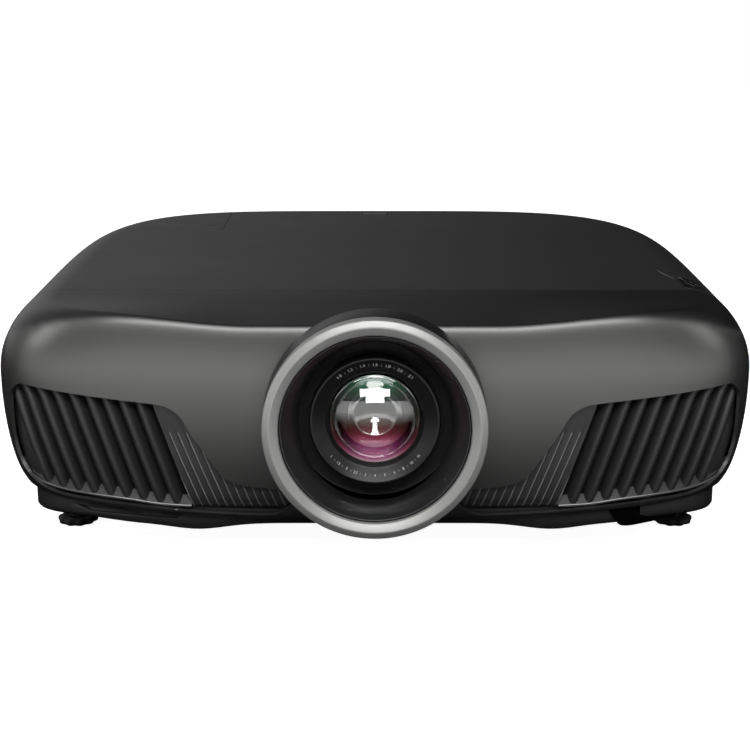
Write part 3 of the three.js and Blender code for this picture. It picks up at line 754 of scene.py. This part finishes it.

# Glass: a domed front element with a multi-layer coat, over inner elements that glow with painted
# reflections: green at the top, brown and rose in the middle and magenta at the foot, with near-white
# painted highlights at the ends. The glow is painted light and dies away sideways as painted shade.
clear_glass = new_material("coated_optical_glass", "#ffffff", 0.0, IOR=1.45,
                                         Transmission_Weight=1.0)
glass_shape = turned([(0, -195), (8, -194.7), (16, -193.8), (24, -192.1), (31, -189.9), (31, -188.7),
                      (24, -190.9), (16, -192.6), (8, -193.5), (0, -193.8)])
front_glass = place_piece("front_element", glass_shape, clear_glass, "lens")
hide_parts("front_glass")


def painted_glow_coating(name, stops, low, high, glow, width):
    """Painted reflection and glow: an emission whose colour runs from the foot of the element to its top, and
    whose strength dies away sideways as painted shade.
    """
    material = new_material(name, "#101010", 0.04, IOR=1.6, Coat_Weight=1.0, Coat_Roughness=0.02)
    position = add_node(material, "ShaderNodeTexCoord")
    axes = add_node(material, "ShaderNodeSeparateXYZ", Vector=position.outputs["Object"])
    span = add_node(material, "ShaderNodeMapRange", {"in_From_Min": low * MM, "in_From_Max": high * MM},
                    Value=axes.outputs["Z"])
    ramp = add_node(material, "ShaderNodeValToRGB", Fac=span.outputs["Result"])
    while len(ramp.color_ramp.elements) < len(stops):
        ramp.color_ramp.elements.new(0.5)
    for element, (place_at, colour) in zip(ramp.color_ramp.elements, stops):
        element.position = place_at
        element.color = linear(colour)
    ramp.color_ramp.interpolation = "B_SPLINE"
    sideways = add_node(material, "ShaderNodeMath", {"operation": "ABSOLUTE"}, n0=axes.outputs["X"])
    painted_side_shade = add_node(material, "ShaderNodeMapRange", {
        "in_From_Min": 0.3 * width * MM, "in_From_Max": width * MM, "in_To_Min": glow, "in_To_Max": 0.0},
        Value=sideways.outputs[0])
    # Painted light: the element glows in the ramp's colours, standing in for the reflections of its coat.
    connect(material, ramp.outputs["Color"], "Emission Color")
    connect(material, painted_side_shade.outputs["Result"], "Emission Strength")
    return material


# The near-white ends of these ramps are painted highlights; the rest is painted reflection.
outer_painted_glow = painted_glow_coating("outer_element_painted_reflection_glow", [
    (0.0, "#d82c98"), (0.09, "#b81f88"), (0.2, "#4a1038"), (0.34, "#040404"), (0.68, "#03100b"),
    (0.84, "#1c6e50"), (1.0, "#b4e8e4")], AXIS_Z - 30, AXIS_Z + 29, 0.36, 24)
inner_painted_glow = painted_glow_coating("inner_element_painted_reflection_glow", [
    (0.0, "#ffd8e8"), (0.10, "#f07098"), (0.22, "#98303e"), (0.38, "#6c4838"), (0.55, "#385438"),
    (0.70, "#504a54"), (0.86, "#2a6a40"), (1.0, "#2c9464")], AXIS_Z - 23.7, AXIS_Z + 22, 0.34, 26)
outer_shape = turned([(23.7, -176), (26, -179.5), (29, -184.5), (31.2, -187.6), (31.2, -172),
                      (23.7, -172)])
outer_element = place_piece("outer_element", outer_shape, outer_painted_glow, "lens")
inner_shape = turned([(0, -178.6), (5, -179.1), (10, -180.7), (13.4, -182.5), (14.4, -182.7),
                      (18, -181), (23.6, -177.4), (23.6, -175.4), (0, -175.4)])
inner_element = place_piece("inner_element", inner_shape, inner_painted_glow, "lens")
glass_pieces = bpy.data.collections.new("glass_pieces")
for piece in (front_glass, outer_element, inner_element):
    glass_pieces.objects.link(piece)
for light in glass_lights:
    light.light_linking.receiver_collection = glass_pieces

# Louvre inserts: overlapping slats, with a ledge along the foot that has a satin trim in front, moulded
# as one grille; the right-hand one pulls out forwards with the air filter. A near-black sheet behind each
# grille is painted shade for the depth of the vent.
slat_plastic = new_material("graphite_moulded_abs", "#1e1e1f", 0.5, IOR=1.53)
add_grain(slat_plastic, 2200.0, 2.0, 0.12, 0.0002)
trim_metal = new_material("satin_trim_paint", "#666666", 0.32, Metallic=0.7)
add_grain(trim_metal, 2500.0, 2.0, 0.04, 0.0001)

SLAT_COUNT, SLAT_PITCH, SLAT_LEAN = 9, 10.9, 26.0
SLAT_TOP, SLAT_FOOT = 117, 36
insert_outline = rounded([(-245.8, 111.5), (-238.6, 118.4), (-148.2, 109), (-123.5, 38.3), (-144, 39.3),
                          (-165, 42.3), (-186, 44.3), (-204, 45.9), (-215, 47.2), (-227, 49.6), (-236, 54.5),
                          (-242, 63), (-245.6, 76), (-246.4, 93)], 4)
trim_path = [(-123.2, 37.2), (-144, 38.2), (-165, 41.1), (-186, 43.1), (-204, 44.7), (-215, 46.0),
             (-227, 48.4), (-236.6, 53.2), (-243, 62.4)]


def slat_set():
    """The overlapping slats as sheets: each stands forward at its outer edge and dives behind the next."""
    slats = bmesh.new()
    for i in range(-2, SLAT_COUNT):
        slat = bmesh.new()
        bmesh.ops.create_grid(slat, x_segments=14, y_segments=30, size=0.5)
        for vertex in slat.verts:
            across, along = vertex.co.x + 0.5, vertex.co.y + 0.5
            z = SLAT_FOOT + (SLAT_TOP + 2 - SLAT_FOOT) * along
            hook = 2.4 * smoothstep(along, 0.90, 1.0) * (1 - across) ** 2
            edge = -248.2 + SLAT_PITCH * i + SLAT_LEAN * (SLAT_TOP - z) / (SLAT_TOP - SLAT_FOOT) - hook
            x = edge + 13.2 * across
            roll = 1.5 * (1 - smoothstep(across, 0, 0.16)) ** 2
            dive = 17 if i >= 0 else 3
            depth = roll + dive * smoothstep(across, 0.16, 1.2) ** 1.1 / 0.9
            vertex.co = (x, front_y(max(x, -247), z, 3.4) + depth + (0 if i >= 0 else 2), z)
        pour(slat, slats)
    trim_to_outline(slats, insert_outline)
    return slats


def trim_strip():
    """The rounded front of the ledge along the foot of the grille."""
    strip = bmesh.new()
    bmesh.ops.create_grid(strip, x_segments=70, y_segments=4, size=0.5)
    for vertex in strip.verts:
        along = (vertex.co.x + 0.5) * (len(trim_path) - 1)
        i = min(int(along), len(trim_path) - 2)
        a, b = Vector(trim_path[i]), Vector(trim_path[i + 1])
        before, after = Vector(trim_path[max(i - 1, 0)]), Vector(trim_path[min(i + 2, len(trim_path) - 1)])
        t = along - i
        spot = 0.5 * (2 * a + (b - before) * t + (2 * before - 5 * a + 4 * b - after) * t * t
                      + (3 * a - before - 3 * b + after) * t ** 3)
        normal = (b - a).normalized()
        offset = Vector((normal.y, -normal.x)) * vertex.co.y * 1.7
        spot += offset
        bulge = 0.5 * (1 - (2 * vertex.co.y) ** 2)
        vertex.co = (spot.x, front_y(spot.x, spot.y, 2.2) - bulge, spot.y)
    bmesh.ops.recalc_face_normals(strip, faces=strip.faces)
    if sum((face.normal.y for face in strip.faces), 0.0) > 0:
        bmesh.ops.reverse_faces(strip, faces=strip.faces)
    return strip


def mirrored(shape):
    """The same shape on the other side of the projector."""
    bmesh.ops.scale(shape, vec=(-1, 1, 1), verts=shape.verts)
    bmesh.ops.reverse_faces(shape, faces=shape.faces)
    return shape


for side, body in (("left", "chassis"), ("right", "filter_cover")):
    slats, strip = slat_set(), trim_strip()
    # Painted shade: a near-black sheet 17 mm behind the grille stands for the dark depth of the vent.
    shade_sheet = front_patch(insert_outline, 40, 24, lambda x, z: front_y(x, z, 3) + 17)
    if side == "right":
        slats, strip, shade_sheet = mirrored(slats), mirrored(strip), mirrored(shade_sheet)
    slat_piece = place_piece("louvre_slats_" + side, slats, slat_plastic, body)
    thicken(slat_piece, 1.5, 0.5, 2, 40)
    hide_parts("louvre_grille_" + side)
    strip_piece = place_piece("louvre_trim_" + side, strip, trim_metal, body)
    strip_piece.data.materials.append(slat_plastic)
    thicken(strip_piece, 9, 0.35, 2, 40)
    strip_piece.modifiers["wall"].material_offset = 1
    strip_piece.modifiers["wall"].material_offset_rim = 1
    shade_sheet_piece = place_piece("louvre_shade_sheet_" + side, shade_sheet, flock_and_shade_black, body)
    thicken(shade_sheet_piece, 1.2, 0.3, 2, 40)

# Fin panels: ribbed black insets between the louvres and the lens. Each rib is a sawtooth that starts a
# third of the way down and rolls under at the foot; its lit edge is a painted highlight of lighter grey
# faces.
fin_outline = rounded([(-147.3, 109.2), (-137.7, 107.6), (-129.8, 102), (-121.5, 86.8), (-111.7, 73.2),
                       (-103.6, 60), (-95.5, 54.3), (-85.7, 52), (-64.7, 50), (-53, 49), (-51.5, 44.5),
                       (-58.4, 38.8), (-66.8, 32.6), (-76, 32), (-95, 32.8), (-113, 33.8), (-121.8, 34.8)], 3)
RIB_PITCH, RIB_LEAN = 5.6, 0.385
# Lighter grey for the painted highlight along the rib edges; the printed status lines use it as ink.
rib_highlight_and_print = new_material("rib_highlight_and_print_grey", "#5c5c5c", 0.4)
vary_colour(rib_highlight_and_print, noise_in(rib_highlight_and_print, 220.0, 3.0), "#484848", "#747474")


def fin_sheet():
    sheet = bmesh.new()
    columns, rows = 168, 44
    bmesh.ops.create_grid(sheet, x_segments=columns, y_segments=rows, size=0.5)
    foot, top = 31, 111
    start = -119.9 - 6 * RIB_PITCH
    for vertex in sheet.verts:
        z = foot + (top - foot) * (vertex.co.y + 0.5)
        steps = (vertex.co.x + 0.5) * columns / 8
        x = start + steps * RIB_PITCH - RIB_LEAN * (z - 44)
        phase = steps - math.floor(steps + 1e-6)
        ridge = (1 - phase) ** 1.2 if phase > 0.06 else phase / 0.06
        strength = (1 - smoothstep(z, 70, 97)) * (0.35 + 0.65 * smoothstep(z, 38, 44))
        roll = 4 * (1 - smoothstep(z, 31, 43)) ** 2
        vertex.co = (x, front_y(x, z, 3.2) + 1.2 - 1.1 * ridge * strength + roll, z)
    trim_to_outline(sheet, fin_outline)
    for face in sheet.faces:
        centre = face.calc_center_median()
        steps = (centre.x + RIB_LEAN * (centre.z - 44) - start) / RIB_PITCH
        # Painted highlight: one narrow column of faces on each rib, 36 to 90 mm up, takes the lighter grey.
        face.material_index = int(0.125 < steps % 1 < 0.25 and 36 < centre.z < 90)
    return sheet


for side in ("left", "right"):
    sheet = fin_sheet() if side == "left" else mirrored(fin_sheet())
    fin_piece = place_piece("fin_ribs_" + side, sheet, black_abs, "chassis")
    fin_piece.data.materials.append(rib_highlight_and_print)
    thicken(fin_piece, 1.6, 0.15, 2, 50)
    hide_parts("fin_panel_" + side)

# Front feet: scalloped black rubber wheels on dark threaded stems, which screw up into moulded bosses
# in the pan. The rear feet are plain rubber pads.
FOOT_X, FOOT_Y = 216, -102
rubber = new_material("moulded_black_rubber", "#1a1a1a", 0.72, IOR=1.52)
add_grain(rubber, 1500.0, 3.0, 0.2, 0.0002)
dark_steel = new_material("black_oxide_steel", "#2a2a2c", 0.4, Metallic=1.0)
vary_roughness(dark_steel, 400.0, 4.0, 0.3, 0.5)

for name, side in (("left", -1), ("right", 1)):
    spot = (side * FOOT_X, FOOT_Y, 0)
    wheel = turned([(0, 0), (12.6, 0), (14, 0.7), (14.5, 1.6), (14.5, 3.4), (14, 4.2), (12.8, 4.6), (9, 4.6),
                    (8.4, 4.2), (0, 4.2)], steps=160, axis=(0, 0, 1), at=(0, 0, 0))
    for vertex in wheel.verts:
        radius = math.hypot(vertex.co.x, vertex.co.y)
        if radius > 11:
            dip = 0.5 * (1 - math.cos(10 * math.atan2(vertex.co.y, vertex.co.x)))
            vertex.co *= Vector((1 - 1.3 * dip / radius, 1 - 1.3 * dip / radius, 1))
    bmesh.ops.translate(wheel, vec=spot, verts=wheel.verts)
    wheel_piece = place_piece("foot_wheel_rubber_" + name, wheel, rubber, "foot_wheel_" + name)
    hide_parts("foot_disc_" + name)
    thread = [(0, 4.9), (6.4, 4.9)]
    for turn_count in range(14):
        thread += [(6.4, 6 + 1.75 * turn_count), (5.6, 6.9 + 1.75 * turn_count)]
    stem = turned(thread + [(6.0, 31), (6.4, 32), (6.4, 47), (5.6, 48), (0, 48)], steps=48,
                  axis=(0, 0, 1), at=spot)
    stem_piece = place_piece("foot_screw_" + name, stem, dark_steel, "foot_" + name)
    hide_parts("foot_stem_" + name)
    boss = turned([(7.2, 12.5), (9.4, 12.5), (10.4, 13.5), (10.8, 20), (12.5, 23.4), (7.2, 23.4)], steps=64,
                  axis=(0, 0, 1), at=spot)
    boss_piece = place_piece("foot_boss_" + name, boss, black_abs, "chassis")
    round_edges(boss_piece, 0.4, 2, 40)
    pad = turned([(0, 0), (11.8, 0), (13, 1.2), (13, 14), (11.5, 22.7), (0, 22.7)], steps=64, axis=(0, 0, 1),
                 at=(side * 185, 150, 0))
    pad_piece = place_piece("rear_foot_pad_" + name, pad, rubber, "chassis")
    round_edges(pad_piece, 0.5, 2, 40)
    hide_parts("foot_rear_" + name)

# Lamp cover screw: a dished, cross-slotted captive screw in black oxide steel. Its cross slot is two
# near-black bars in the dish, painted shade for the recess.
screw_place = Vector((-137, 118, 0))
head_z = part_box("lamp_cover_screw")[1][2] / MM
screw = turned([(0, head_z - 0.9), (1.6, head_z - 0.8), (2.1, head_z - 0.2), (3.0, head_z - 0.2),
                (3.5, head_z - 0.7), (3.5, head_z - 9), (0, head_z - 9)], steps=48, axis=(0, 0, 1),
               at=screw_place)
screw_piece = place_piece("captive_screw", screw, dark_steel, "lamp_screw")
round_edges(screw_piece, 0.15, 2, 30)
# Painted shade: the slot is drawn as near-black bars, not cut into the head.
slot_shade_bars = bmesh.new()
for quarter in (0, math.pi / 2):
    slot_place = Matrix.Translation(screw_place + Vector((0, 0, head_z - 0.75)))
    bmesh.ops.create_cube(slot_shade_bars, size=1, matrix=slot_place @ Matrix.Rotation(quarter, 4, "Z")
                          @ Matrix.Diagonal((3.6, 0.8, 0.5, 1)))
slot_shade_piece = place_piece("captive_screw_cross_shade", slot_shade_bars, flock_and_shade_black, "lamp_screw", smooth=False)
round_edges(slot_shade_piece, 0.08, 1, 40)
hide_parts("lamp_cover_screw")

# Indicators: a smoked strip over the status lamps on the right shoulder, a smoked receiver window at
# the top rear, and fine printed lines beside the strip.
def skin_band(start, end, half_width, low_z):
    """A thin strip of the body's own skin between two points in plan."""
    band = whole_skin.copy()
    near = Vector(((start[0] + end[0]) / 2, (start[1] + end[1]) / 2))
    reach = (Vector(end) - Vector(start)).length + 12
    far = [f for f in band.faces if f.calc_center_median().z < low_z
           or (f.calc_center_median().xy - near).length > reach]
    bmesh.ops.delete(band, geom=far, context="FACES")
    along = Vector((end[0] - start[0], end[1] - start[1], 0)).normalized()
    across = Vector((-along.y, along.x, 0))
    slice_off(band, (*start, 0), -along)
    slice_off(band, (*end, 0), along)
    slice_off(band, Vector((*start, 0)) + across * half_width, across)
    slice_off(band, Vector((*start, 0)) - across * half_width, -across)
    return band


window_mid = (TOP_WINDOW[0][1] + TOP_WINDOW[1][1]) / 2
top_window = skin_band((TOP_WINDOW[0][0] + PART, window_mid), (TOP_WINDOW[1][0] - PART, window_mid), 5.2, 150)
top_window_piece = place_piece("receiver_window_smoked", top_window, gloss_black, "chassis")
thicken(top_window_piece, 2, 0.3, 2)
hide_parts("receiver_window_top")
status_window = skin_band((224, -103.7), (224, -74.3), 7.7, 140)
status_piece = place_piece("status_strip_smoked", status_window, gloss_black, "chassis")
thicken(status_piece, 2, 0.3, 2)
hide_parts("status_indicator_strip")
printed = bmesh.new()
for start, end, half in (((206.5, -50), (211.5, -70), 0.22), ((207.5, -57), (214, -79), 0.22),
                         ((218, -74), (219, -77), 0.7), ((219, -78), (221, -86), 0.22),
                         ((220, -88), (225, -99), 0.2), ((224, -82), (229, -93), 0.2)):
    mark = skin_band(start, end, half, 130)
    for vertex in mark.verts:
        vertex.co += Vector((0.1, 0, 0.12))
    pour(mark, printed)
printed_piece = place_piece("status_printed_lines", printed, rib_highlight_and_print, "chassis")
thicken(printed_piece, 0.08, 0.02, 1)

# Rear panel: a sunken moulded tray for the sockets, with the mains inlet at its left end. The sockets
# have folded tinned-steel shells round moulded tongues, and screw posts beside the two D connectors.
tinned = new_material("tinned_steel", "#c4c4c2", 0.28, Metallic=1.0)
vary_roughness(tinned, 500.0, 4.0, 0.22, 0.38)
video_blue = new_material("blue_moulded_nylon", "#1d3f8f", 0.45, IOR=1.53)
vary_roughness(video_blue, 800.0, 2.0, 0.38, 0.52)
TRAY_FLOOR = 202.5


def socket_shell(x, z, width, height, stand, wall, corner, taper=1.0):
    """A folded shell standing out from the tray, open at the rear; taper narrows its lower edge."""
    shape = bmesh.new()
    bmesh.ops.create_grid(shape, x_segments=1, y_segments=1, size=0.5)
    for vertex in shape.verts:
        vertex.co.x *= width * (taper if vertex.co.y < 0 else 1)
        vertex.co.y *= height
    bmesh.ops.rotate(shape, verts=shape.verts, cent=(0, 0, 0), matrix=Matrix.Rotation(math.pi / 2, 3, "X"))
    bmesh.ops.bevel(shape, geom=shape.verts[:], offset=corner, segments=4, profile=0.5, affect="VERTICES",
                    material=-1)
    bmesh.ops.translate(shape, vec=(x, TRAY_FLOOR, z), verts=shape.verts)
    base = shape.faces[:]
    lifted = bmesh.ops.extrude_face_region(shape, geom=base)["geom"]
    bmesh.ops.translate(shape, vec=(0, stand, 0),
                        verts=[p for p in lifted if isinstance(p, bmesh.types.BMVert)])
    top = [p for p in lifted if isinstance(p, bmesh.types.BMFace)]
    bmesh.ops.inset_region(shape, faces=top, thickness=wall, use_even_offset=True)
    sunk = bmesh.ops.extrude_face_region(shape, geom=top)["geom"]
    bmesh.ops.delete(shape, geom=top, context="FACES_ONLY")
    bmesh.ops.translate(shape, vec=(0, 0.6 - stand, 0),
                        verts=[p for p in sunk if isinstance(p, bmesh.types.BMVert)])
    bmesh.ops.recalc_face_normals(shape, faces=shape.faces)
    return shape


for name, x, z, width, height, stand, corner, taper, tongue, tongue_material in (
        ("video_input_1", -50, 75, 15.4, 6.2, 4.5, 1.0, 0.76, (10.5, 1.2), rubber),
        ("video_input_2", -50, 60, 15.4, 6.2, 4.5, 1.0, 0.76, (10.5, 1.2), rubber),
        ("usb_1", -24, 75, 13.6, 6.4, 4.5, 0.5, 1.0, (11, 1.8), satin_black),
        ("usb_2", -24, 60, 13.6, 6.4, 4.5, 0.5, 1.0, (11, 1.8), satin_black),
        ("network", 2, 68, 16.4, 14.2, 5.2, 0.6, 1.0, (11, 2.0), rubber),
        ("computer_input", 42, 75, 17.5, 9.2, 5.5, 1.6, 0.86, (14.6, 6.2), video_blue),
        ("serial_port", 42, 58, 17.5, 9.2, 5.5, 1.6, 0.86, (14.6, 6.2), rubber)):
    shell_shape = socket_shell(x, z, width, height, stand, 0.5, corner, taper)
    shell = place_piece("socket_" + name, shell_shape, tinned, "chassis")
    round_edges(shell, 0.15, 2, 40)
    core_shape = socket_shell(x, z + 0.4, *tongue, stand - 1.0, 0.3, 0.4, 0.94)
    core = place_piece("socket_tongue_" + name, core_shape, tongue_material, "chassis")
    round_edges(core, 0.1, 1, 40)
for name, x, z in (("trigger_out", 82, 75), ("service_jack", 82, 58)):
    jack = turned([(2.0, TRAY_FLOOR), (2.0, TRAY_FLOOR + 4.4), (3.4, TRAY_FLOOR + 4.4), (3.8, TRAY_FLOOR + 4),
                   (4.2, TRAY_FLOOR + 1), (5.2, TRAY_FLOOR + 0.8), (5.2, TRAY_FLOOR)], steps=64, at=(x, 0, z))
    jack_piece = place_piece("socket_" + name, jack, tinned, "chassis")
    round_edges(jack_piece, 0.15, 2, 30)
posts = bmesh.new()
for x in (29.5, 54.5):
    for z in (75, 58):
        post = turned([(1.3, TRAY_FLOOR), (1.3, TRAY_FLOOR + 5), (2.6, TRAY_FLOOR + 5),
                       (2.9, TRAY_FLOOR + 4.6), (2.9, TRAY_FLOOR)], steps=6, at=(x, 0, z))
        pour(post, posts)
posts_piece = place_piece("socket_screw_posts", posts, tinned, "chassis", smooth=False)
round_edges(posts_piece, 0.15, 2, 30)
pins = bmesh.new()
for x, z in ((-96, 65), (-82, 65), (-89, 69.5)):
    bmesh.ops.create_cube(pins, size=1,
                          matrix=Matrix.Translation((x, 199, z)) @ Matrix.Diagonal((2, 10, 4, 1)))
pins_piece = place_piece("mains_pins", pins, tinned, "chassis", smooth=False)
round_edges(pins_piece, 0.5, 3, 40)
for node in ("rear_panel", "ac_inlet", "keypad_plate"):
    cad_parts[node].data.materials.clear()
    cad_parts[node].data.materials.append(satin_black if node == "keypad_plate" else black_abs)

# Control keys: domed satin keys in the plate behind the side door, with a raised ring round the power
# and enter keys.
KEY_PLACES = {"power": (-8, 129), "source": (8, 138), "menu": (8, 120), "esc": (22, 129), "enter": (46, 129),
              "up": (46, 140), "down": (46, 118), "left": (35, 129), "right": (57, 129)}
key_material = new_material("soft_touch_key_silicone", "#3b3b3d", 0.6, IOR=1.43)
add_grain(key_material, 1800.0, 2.0, 0.1, 0.0001)
for name, (y, z) in KEY_PLACES.items():
    crown = 0.9 if name in ("power", "enter") else 0.5
    key = turned([(0, 240), (3.55, 240), (3.55, 247.2), (3.2, 247.7), (2.4, 248 - crown * 0.2),
                  (0, 248 - crown)], steps=56, axis=(1, 0, 0), at=(0, y, z))
    key_piece = place_piece("key_cap_" + name, key, key_material, "key_" + name)
    round_edges(key_piece, 0.2, 2, 40)
    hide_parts("button_" + name)

# Air filter: a pleated felt cartridge in a moulded frame behind the right-hand louvres.
felt = new_material("pleated_filter_felt", "#c9c7bd", 0.95, Sheen_Weight=0.3)
felt_fibre = add_grain(felt, 900.0, 5.0, 0.4, 0.0003)
vary_colour(felt, felt_fibre, "#bdbbb0", "#d4d2c8")
filter_turn = Matrix.Translation((186, -136, 79)) @ Matrix.Rotation(math.radians(14), 4, "Z")
pleats = bmesh.new()
bmesh.ops.create_grid(pleats, x_segments=66, y_segments=2, size=0.5)
for vertex in pleats.verts:
    column = round((vertex.co.x + 0.5) * 66)
    vertex.co = filter_turn @ Vector((vertex.co.x * 68, 4.2 if column % 2 else -4.2, vertex.co.y * 46))
pleat_piece = place_piece("filter_pleats", pleats, felt, "filter_cover", smooth=False)
pleat_wall = pleat_piece.modifiers.new("felt", "SOLIDIFY")
pleat_wall.thickness = 0.5 * MM
filter_frame = bmesh.new()
bmesh.ops.create_grid(filter_frame, x_segments=1, y_segments=1, size=0.5)
bmesh.ops.scale(filter_frame, vec=(74, 52, 1), verts=filter_frame.verts)
bmesh.ops.rotate(filter_frame, verts=filter_frame.verts, cent=(0, 0, 0),
                 matrix=Matrix.Rotation(math.pi / 2, 3, "X"))
bmesh.ops.inset_region(filter_frame, faces=filter_frame.faces[:], thickness=3, use_boundary=True,
                       use_even_offset=True)
middle = min(filter_frame.faces, key=lambda face: face.calc_center_median().length)
bmesh.ops.delete(filter_frame, geom=[middle], context="FACES")
bmesh.ops.solidify(filter_frame, geom=filter_frame.faces[:], thickness=13.4)
bmesh.ops.translate(filter_frame, verts=filter_frame.verts,
                    vec=(0, -sum(v.co.y for v in filter_frame.verts) / len(filter_frame.verts), 0))
bmesh.ops.transform(filter_frame, matrix=filter_turn, verts=filter_frame.verts)
bmesh.ops.recalc_face_normals(filter_frame, faces=filter_frame.faces)
filter_piece = place_piece("filter_frame", filter_frame, black_abs, "filter_cover",
                           smooth=False)
round_edges(filter_piece, 0.5, 2, 40)
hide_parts("air_filter")

# Fans: two axial fans, each a moulded frame round a seven-bladed rotor, one behind each grille. The
# other inner parts are die-cast, sheet-steel and glass pieces seen only when a cover is off.
zinc = new_material("die_cast_alloy", "#8b8c8d", 0.5, Metallic=1.0)
vary_roughness(zinc, 300.0, 6.0, 0.4, 0.62)
board = new_material("solder_masked_glass_epoxy", "#14502e", 0.4, IOR=1.5)
board_place = add_node(board, "ShaderNodeTexCoord")
tracks = add_node(board, "ShaderNodeTexVoronoi", {
    "in_Scale": 180.0, "feature": "F1", "distance": "CHEBYCHEV"}, Vector=board_place.outputs["Object"])
track_colour = add_node(board, "ShaderNodeMix", {"data_type": "RGBA", "in_6": linear("#0f4226"),
                        "in_7": linear("#2c7a48")}, Factor=tracks.outputs["Distance"])
connect(board, track_colour.outputs[2], "Base Color")
cell_coating = painted_glow_coating("lens_cell_coating", [(0.0, "#5a2a60"), (0.5, "#10241c"), (1.0, "#2f7a60")],
                       AXIS_Z - 38, AXIS_Z + 38, 0.0, 40)
finishes = {
    black_abs: ("exhaust_fan_frame", "intake_fan_frame", "lamp_module"),
    anodised: ("exhaust_fan_rotor", "intake_fan_rotor", "focus_ring", "zoom_ring"),
    dark_steel: ("iris_blade_upper", "iris_blade_lower"),
    tinned: ("power_supply", "focus_pinion", "zoom_pinion"),
    zinc: ("lens_mount_frame", "shift_frame_vertical", "shift_frame_horizontal", "optical_engine_case"),
    board: ("main_board",),
    cell_coating: ("zoom_lens_cell", "focus_lens_cell", "prism_block", "lcd_panel_green", "lcd_panel_red",
                   "lcd_panel_blue"),
}
for material, nodes in finishes.items():
    for node in nodes:
        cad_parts[node].data.materials.clear()
        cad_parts[node].data.materials.append(material)
